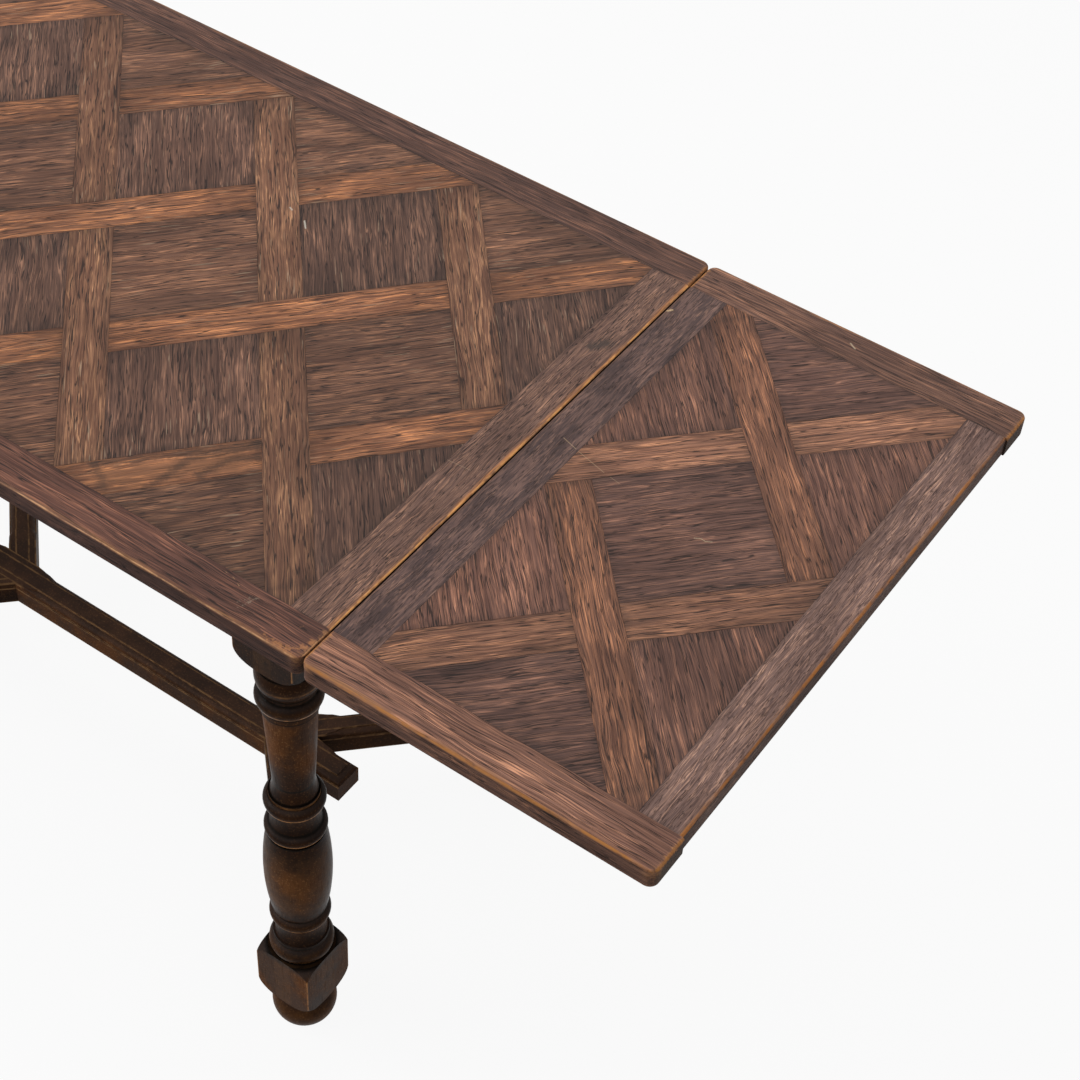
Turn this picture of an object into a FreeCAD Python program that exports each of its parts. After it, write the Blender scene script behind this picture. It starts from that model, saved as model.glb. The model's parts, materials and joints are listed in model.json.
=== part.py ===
import FreeCAD, Part
import math
import os

Vec = FreeCAD.Vector

# Overall sizes in millimetres. The origin is on the floor under the middle of the main top,
# +X runs towards the right leaf, -Y is the near side and +Z is up.
table_height = 780.0
top_length = 1056.0
top_width = 648.0
top_thickness = 22.0
seam_gap = 1.0

# Tops: a frame of bands round woven parquet on a core board
band_width = 43.0
parquet_thickness = 8.0
outer_band_setback = 2.0
top_corner_radius = 9.0
top_edge_radius = 3.0
underside_edge_radius = 1.5
top_columns = 4
leaf_columns = 1
panel_rows = 2

# Legs: square blocks with turned shoulders, a turned shaft and a bun foot
leg_inset = 104.0
leg_block = 70.0
turning_radius = 36.0
shoulder_radius = 30.0
bun_height = 52.0
foot_block_height = 82.0
foot_lower_shoulder = 24.0
foot_upper_shoulder = 11.0
top_block_height = 117.0
top_block_shoulder = 18.0
pommel_share = 0.707

# Turned members from the bottom up: share of the stretch's height, then the radius at the
# bottom, middle and top as shares of the turning radius. No middle means a straight side.
bun_shares = (
    (0.90, 0.72, 1.00, 0.78),
    (0.10, 0.76, 0.74, 0.78),
)
shaft_shares = (
    (0.048, 0.84, 0.975, 0.80),
    (0.012, 0.84, None, 0.84),
    (0.058, 0.80, 0.72, 0.76),
    (0.039, 0.76, 0.915, 0.76),
    (0.279, 0.82, 1.00, 0.86),
    (0.035, 0.76, 0.908, 0.76),
    (0.053, 0.76, 0.71, 0.74),
    (0.038, 0.74, 0.89, 0.76),
    (0.010, 0.735, None, 0.735),
    (0.039, 0.69, 0.63, 0.607),
    (0.234, 0.607, None, 0.765),
    (0.017, 0.80, None, 0.80),
    (0.041, 0.78, 0.936, 0.78),
    (0.012, 0.78, None, 0.78),
    (0.060, 0.78, 0.905, 0.82),
    (0.025, 0.80, 0.78, 0.83),
)

# Rails under the top
rail_height = 66.0
rail_thickness = 24.0
rail_setback = 6.0
tenon_length = 28.0
tenon_thickness = 9.0
tenon_shoulder = 10.0
joint_clearance = 0.15

# Lopers: sloped bearers that let a leaf drop by its own thickness as it goes home
stow_clearance = 1.0
loper_width = 26.0
loper_depth = 36.0
loper_overlap = 70.0
loper_end_inset = 32.0
loper_nose_radius = 12.0
running_clearance = 0.3
side_clearance = 1.0
lane_margin = 20.0
lane_gap = 8.0
leaf_pull = 100.0
stop_peg_radius = 4.0
stop_peg_reach = 6.0

# Centre board, loper guides and the pegs of the loose main top
board_length = 340.0
board_gap = 8.0
guide_thickness = 10.0
guide_height = 40.0
guide_length = 105.0
guide_setback = 5.0
top_peg_radius = 9.0
top_peg_share = 0.5
top_peg_socket = 9.0
top_peg_tail = 20.0
top_peg_chamfer = 2.0
peg_clearance = 0.4

# Corner braces
brace_thickness = 24.0
brace_height = 30.0
brace_lift = 4.0
brace_gap = 2.0

# Wood screws
screw_radius = 2.25
screw_head_radius = 4.5
screw_head_height = 3.0
screw_clamp = 12.0
screw_bite = 10.0
board_screw_offset = 120.0
loper_screw_shares = (0.22, 0.72)

# Stretcher: a central bar with a stub at each end and four diagonal arms
stretcher_top = 110.0
stretcher_height = 34.0
bar_width = 38.0
arm_width = 34.0
junction_inset = 322.0
stub_length = 107.0
ovolo_radius = 7.5
mould_top_fillet = 2.0
mould_side_fillet = 1.5
mould_stop_length = 26.0
mould_margin = 6.0
arm_plain_length = 24.0
arm_tenon_length = 22.0
arm_tenon_thickness = 12.0
arm_tenon_shoulder = 7.0
dowel_radius = 5.0
dowel_length = 36.0

# Lamb's-tongue stop of a moulding: share of the stop's length, share of the full cut
stop_shares = ((0.0, 1.0), (0.35, 0.50), (0.60, 0.38), (1.0, 0.03))

# How far cutting shapes run past the faces they cut
overrun = 2.0

half_turn = 180.0
full_turn = 360.0
quarter_turn = 90.0

# Heights and places that follow from the sizes above
core_thickness = top_thickness - parquet_thickness
top_underside = table_height - top_thickness
leaf_drop = top_thickness + stow_clearance
frame_top = top_underside - leaf_drop
rail_bottom = frame_top - rail_height
half_block = leg_block / 2
leg_x = top_length / 2 - leg_inset
leg_y = top_width / 2 - leg_inset
rail_outer_x = leg_x + half_block - rail_setback
rail_outer_y = leg_y + half_block - rail_setback
rail_inner_x = rail_outer_x - rail_thickness
rail_inner_y = rail_outer_y - rail_thickness
seam_x = top_length / 2 + seam_gap
board_half_length = board_length / 2
leaf_travel = seam_x - board_half_length - board_gap
leaf_length = leaf_travel - seam_gap
leaf_end_x = seam_x + leaf_length
loper_slope = leaf_drop / leaf_travel
left_lane = leg_y - half_block - lane_margin - loper_width / 2
right_lane = left_lane - loper_width - guide_thickness - lane_gap
top_peg_offset = right_lane * top_peg_share
guide_end = board_half_length - guide_setback
guide_start = guide_end - guide_length
junction_x = top_length / 2 - junction_inset
stretcher_bottom = stretcher_top - stretcher_height
arm_angle = math.atan2(-leg_y, leg_x - junction_x)
arm_span = math.hypot(leg_x - junction_x, leg_y)
bar_half_length = junction_x + stub_length
screw_length = screw_clamp + screw_bite


def box(x_range, y_range, z_range):
    """Box between pairs of limits along each axis."""
    low = Vec(min(x_range), min(y_range), min(z_range))
    high = Vec(max(x_range), max(y_range), max(z_range))
    size = high - low
    return Part.makeBox(size.x, size.y, size.z, low)


def widened(limits, by):
    """Pair of limits moved apart at both ends."""
    return min(limits) - by, max(limits) + by


def prism(points, height):
    """Upright prism on a flat outline."""
    return Part.Face(Part.makePolygon(points + points[:1])).extrude(Vec(0, 0, height))


def mirrored(shape, normal):
    """Copy of a shape on the other side of a plane through the origin."""
    return shape.mirror(Vec(0, 0, 0), normal)


def turned_round(shape):
    """Copy of a right-hand shape turned half a turn about the upright axis."""
    copy = shape.copy()
    copy.rotate(Vec(0, 0, 0), Vec(0, 0, 1), half_turn)
    return copy


def clipped(points, normal, limit):
    """Part of a convex outline where normal . point stays under the limit."""
    kept = []
    for start, end in zip(points, points[1:] + points[:1]):
        before = start.dot(normal) - limit
        after = end.dot(normal) - limit
        if before <= 0:
            kept.append(start)
        if before * after < 0:
            kept.append(start + (end - start) * (before / (before - after)))
    return kept


class Panel:
    """Parquet field inside the bands: cells crossed by two diagonals of woven strips.

    Falling strips run down to the right and pass over at the middle of a cell. Rising
    strips pass over at the corners of the cells, except at the field's two corners that
    only a falling strip reaches. A place in the weave is counted in strips: a across the
    falling ones and b across the rising ones, so column i and row j meet at a = i + j
    and b = j - i.
    """

    def __init__(self, x_range, columns):
        self.x_low, self.x_high = x_range
        self.y_high = top_width / 2 - band_width
        self.y_low = -self.y_high
        self.columns = columns
        self.cell_x = (self.x_high - self.x_low) / columns
        self.cell_y = (self.y_high - self.y_low) / panel_rows
        pitch = self.cell_x * self.cell_y / math.hypot(self.cell_x, self.cell_y)
        self.half = band_width / 2 / pitch

    def piece(self, a_range, b_range):
        """Parquet piece between two pairs of weave lines, trimmed to the field."""
        corners = [(a_range[0], b_range[0]), (a_range[1], b_range[0]),
                   (a_range[1], b_range[1]), (a_range[0], b_range[1])]
        base = table_height - parquet_thickness
        points = [Vec(self.x_low + self.cell_x * (a - b) / 2, self.y_low + self.cell_y * (a + b) / 2, base)
                  for a, b in corners]
        points = clipped(points, Vec(1, 0, 0), self.x_high)
        points = clipped(points, Vec(-1, 0, 0), -self.x_low)
        points = clipped(points, Vec(0, 1, 0), self.y_high)
        points = clipped(points, Vec(0, -1, 0), -self.y_low)
        return prism(points, parquet_thickness)

    def cells(self):
        return [(i, j) for i in range(self.columns) for j in range(panel_rows)]

    def corners(self):
        """Corners of the cells where a rising strip passes over."""
        lone = ((0, panel_rows), (self.columns, 0))
        return [(i, j) for i in range(self.columns + 1) for j in range(panel_rows + 1) if (i, j) not in lone]

    def falling_strips(self):
        """One piece per cell, from rising strip to rising strip or into a lone corner."""
        corners = self.corners()
        pieces = []
        for i, j in self.cells():
            a = i + j + 1
            b = j - i
            low = b - 1 + (self.half if (i + 1, j) in corners else -self.half)
            high = b + 1 - (self.half if (i, j + 1) in corners else -self.half)
            pieces.append(self.piece((a - self.half, a + self.half), (low, high)))
        return pieces

    def rising_strips(self):
        """One piece per corner, from falling strip to falling strip."""
        return [self.piece((i + j - 1 + self.half, i + j + 1 - self.half), (j - i - self.half, j - i + self.half))
                for i, j in self.corners()]

    def square(self, a, b):
        """Square between four strips, or the triangle of it that lies in the field."""
        return self.piece((a + self.half, a + 1 - self.half), (b + self.half, b + 1 - self.half))

    def falling_squares(self):
        """Squares with falling grain, on the upright sides of the cells."""
        return [self.square(i + j, j - i) for i in range(self.columns + 1) for j in range(panel_rows)]

    def rising_squares(self):
        """Squares with rising grain, on the level sides of the cells."""
        return [self.square(i + j, j - i - 1) for i in range(self.columns) for j in range(panel_rows + 1)]

    def core(self):
        """Board that the parquet is laid on."""
        return box((self.x_low, self.x_high), (self.y_low, self.y_high),
                   (top_underside, top_underside + core_thickness))


def top_slab(x_range):
    """Whole outline of a top or leaf with rounded corners and edges."""
    half = top_width / 2
    slab = box(x_range, (-half, half), (top_underside, table_height))
    upright = [edge for edge in slab.Edges if edge.BoundBox.ZLength > top_thickness / 2]
    slab = slab.makeFillet(top_corner_radius, upright)
    rim = [edge for edge in slab.Edges if edge.BoundBox.ZMin > table_height - top_thickness / 2]
    slab = slab.makeFillet(top_edge_radius, rim)
    lower_rim = [edge for edge in slab.Edges if edge.BoundBox.ZMax < top_underside + top_thickness / 2
                 and edge.BoundBox.ZLength < top_thickness / 2]
    return slab.makeFillet(underside_edge_radius, lower_rim)


def bands(x_range, setback):
    """Near, far, low-X and high-X bands. The long ones run through and the end ones butt between
    them, the high-X one set back behind their ends."""
    slab = top_slab(x_range)
    end_slab = top_slab((x_range[0], x_range[1] - setback))
    half = top_width / 2
    inner = half - band_width
    z_range = widened((top_underside, table_height), overrun)
    along = widened(x_range, overrun)
    near = slab.common(box(along, (-half - overrun, -inner), z_range))
    far = slab.common(box(along, (inner, half + overrun), z_range))
    low = slab.common(box((x_range[0] - overrun, x_range[0] + band_width), (-inner, inner), z_range))
    high = end_slab.common(box((x_range[1] - band_width, x_range[1] + overrun), (-inner, inner), z_range))
    return near, far, low, high


def turned_members(bottom, height, shares):
    """Edges of turned members stacked from a height upwards, with the outline's two ends."""
    edges = []
    z = bottom
    last = None
    first = None
    for height_share, low_share, middle_share, high_share in shares:
        rise = height * height_share
        start = Vec(turning_radius * low_share, 0, z)
        end = Vec(turning_radius * high_share, 0, z + rise)
        first = first or start
        if last and last.x != start.x:
            edges.append(Part.LineSegment(last, start).toShape())
        if middle_share is None:
            edges.append(Part.LineSegment(start, end).toShape())
        else:
            middle = Vec(turning_radius * middle_share, 0, z + rise / 2)
            edges.append(Part.Arc(start, middle, end).toShape())
        z += rise
        last = end
    return edges, first, last


def revolved(edges, first, last):
    """Solid of revolution about the upright axis from an open outline."""
    foot = Vec(0, 0, first.z)
    head = Vec(0, 0, last.z)
    closing = [Part.LineSegment(last, head).toShape(), Part.LineSegment(head, foot).toShape(),
               Part.LineSegment(foot, first).toShape()]
    face = Part.Face(Part.Wire(edges + closing))
    return face.revolve(Vec(0, 0, 0), Vec(0, 0, 1), full_turn)


def pommel_block(bottom, top, lower_shoulder, upper_shoulder):
    """Square block whose corners are turned down to a round shoulder at its ends."""
    reach = math.hypot(half_block, half_block)
    bulge = shoulder_radius + (reach - shoulder_radius) * pommel_share
    rim = reach + overrun
    edges = []
    first = Vec(shoulder_radius, 0, bottom)
    start = first
    if lower_shoulder:
        corner = Vec(reach, 0, bottom + lower_shoulder)
        middle = Vec(bulge, 0, bottom + lower_shoulder * (1 - pommel_share))
        edges.append(Part.Arc(start, middle, corner).toShape())
        start = corner
    side_bottom = Vec(rim, 0, start.z)
    edges.append(Part.LineSegment(start, side_bottom).toShape())
    side_top = Vec(rim, 0, top - upper_shoulder)
    edges.append(Part.LineSegment(side_bottom, side_top).toShape())
    last = side_top
    if upper_shoulder:
        corner = Vec(reach, 0, side_top.z)
        middle = Vec(bulge, 0, top - upper_shoulder * (1 - pommel_share))
        last = Vec(shoulder_radius, 0, top)
        edges.append(Part.LineSegment(side_top, corner).toShape())
        edges.append(Part.Arc(corner, middle, last).toShape())
    square = box((-half_block, half_block), (-half_block, half_block), (bottom, top))
    return square.common(revolved(edges, first, last))


def plain_leg():
    """Leg on the upright axis before its mortises are cut."""
    foot_block_top = bun_height + foot_block_height
    top_block_bottom = frame_top - top_block_height
    shaft_height = top_block_bottom - foot_block_top
    foot_block = pommel_block(bun_height, foot_block_top, foot_lower_shoulder, foot_upper_shoulder)
    top_block = pommel_block(top_block_bottom, frame_top, top_block_shoulder, 0)
    bun = revolved(*turned_members(0, bun_height, bun_shares))
    shaft = revolved(*turned_members(foot_block_top, shaft_height, shaft_shares))
    return foot_block.fuse([bun, shaft, top_block]).removeSplitter()


def rail_tenon_heights():
    return rail_bottom + tenon_shoulder, frame_top - tenon_shoulder


def side_rail_tenon(grow):
    """Tenon of the near side rail in the near right leg, grown for its mortise."""
    start = leg_x - half_block
    centre = -(rail_outer_y - rail_thickness / 2)
    return box((start - overrun, start + tenon_length + grow),
               widened((centre - tenon_thickness / 2, centre + tenon_thickness / 2), grow),
               widened(rail_tenon_heights(), grow))


def end_rail_tenon(grow):
    """Tenon of the right end rail in the near right leg, grown for its mortise."""
    start = -(leg_y - half_block)
    centre = rail_outer_x - rail_thickness / 2
    return box(widened((centre - tenon_thickness / 2, centre + tenon_thickness / 2), grow),
               (start + overrun, start - tenon_length - grow),
               widened(rail_tenon_heights(), grow))


def arm_place(shape):
    """Move a shape drawn along +X from the origin to the near right arm's place."""
    placed = shape.copy()
    placed.rotate(Vec(0, 0, 0), Vec(0, 0, 1), math.degrees(arm_angle))
    placed.translate(Vec(junction_x, 0, 0))
    return placed


def arm_tenon(grow):
    """Tenon of the near right arm through the inner corner of the leg's foot block."""
    corner = arm_span - math.hypot(half_block, half_block)
    tenon = box((corner - arm_tenon_length, corner + arm_tenon_length + grow),
                widened((-arm_tenon_thickness / 2, arm_tenon_thickness / 2), grow),
                widened((stretcher_bottom + arm_tenon_shoulder, stretcher_top - arm_tenon_shoulder), grow))
    return arm_place(tenon)


def near_right_leg():
    leg = plain_leg()
    leg.translate(Vec(leg_x, -leg_y, 0))
    mortises = [side_rail_tenon(joint_clearance), end_rail_tenon(joint_clearance), arm_tenon(joint_clearance)]
    return leg.cut(mortises)


def screw(seat, direction, length):
    """Wood screw whose head rests on the seat."""
    shank = Part.makeCylinder(screw_radius, length, seat, direction)
    head = Part.makeCylinder(screw_head_radius, screw_head_height, seat, -direction)
    return shank.fuse(head).removeSplitter()


def screw_hole(seat, direction, length, pocket):
    """Hole for a screw, with a pocket behind its head."""
    shank = Part.makeCylinder(screw_radius + joint_clearance, length + joint_clearance, seat, direction)
    head = Part.makeCylinder(screw_head_radius + joint_clearance, pocket, seat, -direction)
    return shank.fuse(head)


def side_rail():
    """Near side rail with a tenon at each end."""
    reach = leg_x - half_block
    rail = box((-reach, reach), (-rail_outer_y, -rail_inner_y), (rail_bottom, frame_top))
    tenon = side_rail_tenon(0)
    rail = rail.fuse([tenon, mirrored(tenon, Vec(1, 0, 0))]).removeSplitter()
    holes = [screw_hole(*place, 0 + screw_head_height) for place in board_screw_places() + brace_side_places()]
    return rail.cut(holes)


def loper_top(x):
    """Height of a right-hand loper's sloped top under the main top."""
    return top_underside - running_clearance - (seam_x - x) * loper_slope


def loper_outline(drop):
    """Side view of a right-hand loper, with its underside lowered for the notch that it runs in."""
    tail = -loper_overlap
    nose = leaf_end_x - loper_end_inset
    return [Vec(tail, 0, loper_top(tail)), Vec(seam_x, 0, loper_top(seam_x)), Vec(seam_x, 0, top_underside),
            Vec(nose, 0, top_underside), Vec(nose, 0, loper_top(nose) - loper_depth - drop),
            Vec(tail, 0, loper_top(tail) - loper_depth - drop)]


def lane_prism(points, centre, width):
    """Side view drawn out across a loper's lane."""
    face = Part.Face(Part.makePolygon(points + points[:1]))
    face.translate(Vec(0, centre - width / 2, 0))
    return face.extrude(Vec(0, width, 0))


def end_rail(lane):
    """Right end rail with a tenon at each end and an open notch for each loper."""
    reach = leg_y - half_block
    rail = box((rail_inner_x, rail_outer_x), (-reach, reach), (rail_bottom, frame_top))
    tenon = end_rail_tenon(0)
    rail = rail.fuse([tenon, mirrored(tenon, Vec(0, 1, 0))]).removeSplitter()
    notches = [lane_prism(loper_outline(running_clearance), side * lane, loper_width + 2 * side_clearance)
               for side in (-1, 1)]
    holes = [screw_hole(*place, 0 + screw_head_height) for place in brace_end_places()]
    return rail.cut(notches + holes)


def stop_peg_place():
    """Middle of a right-hand loper's stop peg: it meets the guides when the leaf is pulled right out."""
    x = guide_start - leaf_pull - stop_peg_radius
    return x, loper_top(x) - loper_depth / 2


def stop_peg(centre, grow):
    x, z = stop_peg_place()
    length = loper_width + 2 * stop_peg_reach
    return Part.makeCylinder(stop_peg_radius + grow, length, Vec(x, centre - length / 2, z), Vec(0, 1, 0))


def loper_screw_places(centre):
    """Seats, directions and lengths of the screws that hold a loper to its leaf."""
    xs = [seam_x + leaf_length * share for share in loper_screw_shares]
    return [(Vec(x, centre, top_underside - screw_clamp), Vec(0, 0, 1), screw_length) for x in xs]


def loper(centre):
    bar = lane_prism(loper_outline(0), centre, loper_width)
    nose = leaf_end_x - loper_end_inset
    toe = [edge for edge in bar.Edges if edge.BoundBox.YLength > loper_width / 2
           and edge.BoundBox.XMin > nose - overrun and edge.BoundBox.ZMax < top_underside - overrun]
    bar = bar.makeFillet(loper_nose_radius, toe)
    holes = [screw_hole(*place, loper_depth) for place in loper_screw_places(centre)]
    return bar.cut(holes + [stop_peg(centre, joint_clearance)])


def loper_guides(lane):
    """Guide strips on both sides of the right-hand lopers, under the centre board."""
    strips = []
    offset = loper_width / 2 + side_clearance
    for side in (-1, 1):
        for hand in (-1, 1):
            near_edge = side * lane + hand * offset
            strips.append(box((guide_start, guide_end), (near_edge, near_edge + hand * guide_thickness),
                              (frame_top - guide_height, frame_top)))
    return strips


def board_screw_places():
    """Seats, directions and lengths of the screws through the centre board into the side rails."""
    y = rail_outer_y - rail_thickness / 2
    seat_z = top_underside - screw_head_height
    length = leaf_drop - screw_head_height + screw_bite
    return [(Vec(x, side * y, seat_z), Vec(0, 0, -1), length)
            for x in (-board_screw_offset, board_screw_offset) for side in (-1, 1)]


def top_peg_places():
    return [Vec(0, side * top_peg_offset, 0) for side in (-1, 1)]


def centre_board():
    board = box((-board_half_length, board_half_length), (-rail_outer_y, rail_outer_y), (frame_top, top_underside))
    holes = [screw_hole(*place, screw_head_height + overrun) for place in board_screw_places()]
    holes += [Part.makeCylinder(top_peg_radius + peg_clearance, leaf_drop + 2 * overrun,
                                place + Vec(0, 0, frame_top - overrun)) for place in top_peg_places()]
    return board.cut(holes)


def top_pegs():
    """Pegs fixed in the main top's core that drop through the centre board."""
    pegs = []
    for place in top_peg_places():
        bottom = frame_top - top_peg_tail
        peg = Part.makeCylinder(top_peg_radius, top_underside + top_peg_socket - bottom, place + Vec(0, 0, bottom))
        rim = [edge for edge in peg.Edges if edge.BoundBox.ZMax < bottom + top_peg_chamfer]
        pegs.append(peg.makeChamfer(top_peg_chamfer, rim))
    return pegs


def top_core(panel):
    sockets = [Part.makeCylinder(top_peg_radius + joint_clearance, top_peg_socket + joint_clearance,
                                 place + Vec(0, 0, top_underside)) for place in top_peg_places()]
    return panel.core().cut(sockets)


def leaf_core(panel, lane):
    holes = [screw_hole(*place, screw_head_height) for side in (-1, 1) for place in loper_screw_places(side * lane)]
    return panel.core().cut(holes)


def brace_outline():
    """Plan of the far right brace: it crosses the corner just inside the leg."""
    outer = leg_x + leg_y - leg_block - brace_gap * math.sqrt(2)
    inner = outer - brace_thickness * math.sqrt(2)
    return [Vec(outer - rail_inner_y, rail_inner_y, 0), Vec(inner - rail_inner_y, rail_inner_y, 0),
            Vec(rail_inner_x, inner - rail_inner_x, 0), Vec(rail_inner_x, outer - rail_inner_x, 0)]


def brace_middle():
    return rail_bottom + brace_lift + brace_height / 2


def brace_end_places():
    """Seats, directions and lengths of the brace screws into the right end rail."""
    points = brace_outline()
    y = (points[2].y + points[3].y) / 2
    return [(Vec(rail_inner_x - screw_clamp, side * y, brace_middle()), Vec(1, 0, 0), screw_length)
            for side in (-1, 1)]


def brace_side_places():
    """Seats, directions and lengths of the brace screws into the near side rail."""
    points = brace_outline()
    x = (points[0].x + points[1].x) / 2
    return [(Vec(side * x, -rail_inner_y + screw_clamp, brace_middle()), Vec(0, -1, 0), screw_length)
            for side in (-1, 1)]


def near_right_brace():
    points = [Vec(point.x, -point.y, rail_bottom + brace_lift) for point in brace_outline()]
    brace = prism(points, brace_height)
    places = [place for place in brace_end_places() if place[0].y < 0]
    places += [place for place in brace_side_places() if place[0].x > 0]
    brace = brace.cut([screw_hole(*place, brace_thickness) for place in places])
    return brace, [screw(*place) for place in places]


def all_corners(shape):
    """A near right shape and its copies at the far right, near left and far left."""
    far = mirrored(shape, Vec(0, 1, 0))
    return {"near_right": shape, "far_right": far,
            "near_left": mirrored(shape, Vec(1, 0, 0)), "far_left": mirrored(far, Vec(1, 0, 0))}


def mould_wire(x, half_width, cut_share):
    """Waste outside an ovolo on the upper +Y edge of a bar along X."""
    radius = ovolo_radius * cut_share
    centre = Vec(x, half_width - radius - mould_side_fillet * cut_share,
                 stretcher_top - radius - mould_top_fillet * cut_share)
    crown = centre + Vec(0, 0, radius)
    flank = centre + Vec(0, radius, 0)
    shoulder = centre + Vec(0, radius * math.cos(math.pi / 4), radius * math.sin(math.pi / 4))
    over = stretcher_top + overrun
    beside = half_width + overrun
    corners = [flank, Vec(x, beside, flank.z), Vec(x, beside, over), Vec(x, crown.y, over), crown]
    edges = [Part.LineSegment(start, end).toShape() for start, end in zip(corners, corners[1:])]
    return Part.Wire([Part.Arc(crown, shoulder, flank).toShape()] + edges)


def mould_cut(start, end, half_width, stop_at_start, stop_at_end):
    """Moulding waste from start to end, run out in a lamb's-tongue where it stops."""
    run_start = start + (mould_stop_length if stop_at_start else 0)
    run_end = end - (mould_stop_length if stop_at_end else 0)
    wires = [mould_wire(run_start, half_width, 1), mould_wire(run_end, half_width, 1)]
    if stop_at_start:
        wires = [mould_wire(run_start - mould_stop_length * length_share, half_width, cut_share)
                 for length_share, cut_share in reversed(stop_shares)] + wires[1:]
    if stop_at_end:
        wires = wires[:-1] + [mould_wire(run_end + mould_stop_length * length_share, half_width, cut_share)
                              for length_share, cut_share in stop_shares]
    return Part.makeLoft(wires, True, True)


def arm_root():
    """Where an arm's two edges meet the bar's side, along the bar."""
    slope = abs(math.sin(arm_angle))
    shift = bar_width / 2 * math.cos(arm_angle)
    return junction_x + (shift - arm_width / 2) / slope, junction_x + (shift + arm_width / 2) / slope


def dowel_place(grow):
    """Dowel across the joint between the near right arm and the bar."""
    joint = bar_width / 2 / abs(math.sin(arm_angle))
    middle = (stretcher_top + stretcher_bottom) / 2
    start = Vec(joint - dowel_length / 2 - grow, 0, middle)
    return arm_place(Part.makeCylinder(dowel_radius + grow, dowel_length + 2 * grow, start, Vec(1, 0, 0)))


def bar_section():
    """Central bar before its mouldings and dowel holes."""
    return box((-bar_half_length, bar_half_length), (-bar_width / 2, bar_width / 2), (stretcher_bottom, stretcher_top))


def stretcher_bar():
    root_start, root_end = arm_root()
    half = bar_width / 2
    middle_run = mould_cut(mould_margin - root_start, root_start - mould_margin, half, True, True)
    stub_run = mould_cut(root_end + mould_margin, bar_half_length + overrun, half, True, False)
    end_run = mould_cut(-half - overrun, half + overrun, bar_half_length, False, False)
    end_run.rotate(Vec(0, 0, 0), Vec(0, 0, 1), -quarter_turn)
    cuts = [middle_run, mirrored(middle_run, Vec(0, 1, 0)), end_run, mirrored(end_run, Vec(1, 0, 0))]
    cuts += all_corners(stub_run).values()
    cuts += all_corners(dowel_place(joint_clearance)).values()
    return bar_section().cut(cuts)


def near_right_arm():
    """Arm from the bar's side to the inner corner of the leg's foot block, notched over that corner."""
    half = arm_width / 2
    joint = bar_width / 2 / abs(math.sin(arm_angle))
    corner = arm_span - math.hypot(half_block, half_block)
    run = mould_cut(joint + arm_plain_length, corner - arm_plain_length, half, True, True)
    arm = box((0, arm_span), (-half, half), (stretcher_bottom, stretcher_top))
    arm = arm_place(arm.cut([run, mirrored(run, Vec(0, 1, 0))]))
    block = box((leg_x - half_block, leg_x + half_block), (half_block - leg_y, -half_block - leg_y), (0, table_height))
    arm = arm.cut([bar_section(), block])
    return arm.fuse(arm_tenon(0)).cut(dowel_place(joint_clearance)).removeSplitter()


def leaf_parts(lane):
    """Right-hand leaf: its panel, bands, lopers, screws and stop pegs."""
    panel = Panel((seam_x + band_width, leaf_end_x - band_width), leaf_columns)
    near, far, inner, outer = bands((seam_x, leaf_end_x), outer_band_setback)
    sides = (-1, 1)
    screws = [screw(*place) for side in sides for place in loper_screw_places(side * lane)]
    return {
        "leaf_core": [leaf_core(panel, lane)],
        "leaf_near_band": [near],
        "leaf_far_band": [far],
        "leaf_inner_band": [inner],
        "leaf_outer_band": [outer],
        "leaf_falling_strips": panel.falling_strips(),
        "leaf_rising_strips": panel.rising_strips(),
        "leaf_falling_squares": panel.falling_squares(),
        "leaf_rising_squares": panel.rising_squares(),
        "near_loper": [loper(-lane)],
        "far_loper": [loper(lane)],
        "loper_screws": screws,
        "loper_stops": [stop_peg(side * lane, 0) for side in sides],
    }


def main_top_parts():
    half = top_length / 2
    panel = Panel((band_width - half, half - band_width), top_columns)
    near, far, left, right = bands((-half, half), 0)
    return {
        "top_core": [top_core(panel)],
        "top_near_band": [near],
        "top_far_band": [far],
        "top_left_band": [left],
        "top_right_band": [right],
        "top_falling_strips": panel.falling_strips(),
        "top_rising_strips": panel.rising_strips(),
        "top_falling_squares": panel.falling_squares(),
        "top_rising_squares": panel.rising_squares(),
        "top_pegs": top_pegs(),
    }


def frame_parts():
    nodes = {place + "_leg": [leg] for place, leg in all_corners(near_right_leg()).items()}
    nodes.update({place + "_arm": [arm] for place, arm in all_corners(near_right_arm()).items()})
    rail = side_rail()
    nodes["near_side_rail"] = [rail]
    nodes["far_side_rail"] = [mirrored(rail, Vec(0, 1, 0))]
    nodes["right_end_rail"] = [end_rail(right_lane)]
    nodes["left_end_rail"] = [turned_round(end_rail(left_lane))]
    nodes["right_loper_guides"] = loper_guides(right_lane)
    nodes["left_loper_guides"] = [turned_round(strip) for strip in loper_guides(left_lane)]
    nodes["centre_board"] = [centre_board()]
    nodes["centre_board_screws"] = [screw(*place) for place in board_screw_places()]
    brace, screws = near_right_brace()
    nodes["corner_braces"] = list(all_corners(brace).values())
    nodes["brace_screws"] = [copy for one in screws for copy in all_corners(one).values()]
    nodes["stretcher_bar"] = [stretcher_bar()]
    nodes["arm_dowels"] = list(all_corners(dowel_place(0)).values())
    return nodes


def left_name(name):
    """Name of a right-hand leaf's piece once the leaf is turned round to the left end."""
    swapped = name.replace("near", "swap").replace("far", "near").replace("swap", "far")
    return "left_" + swapped


def all_parts():
    nodes = frame_parts()
    nodes.update(main_top_parts())
    nodes.update({"right_" + name: solids for name, solids in leaf_parts(right_lane).items()})
    nodes.update({left_name(name): [turned_round(solid) for solid in solids]
                  for name, solids in leaf_parts(left_lane).items()})
    return nodes


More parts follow.
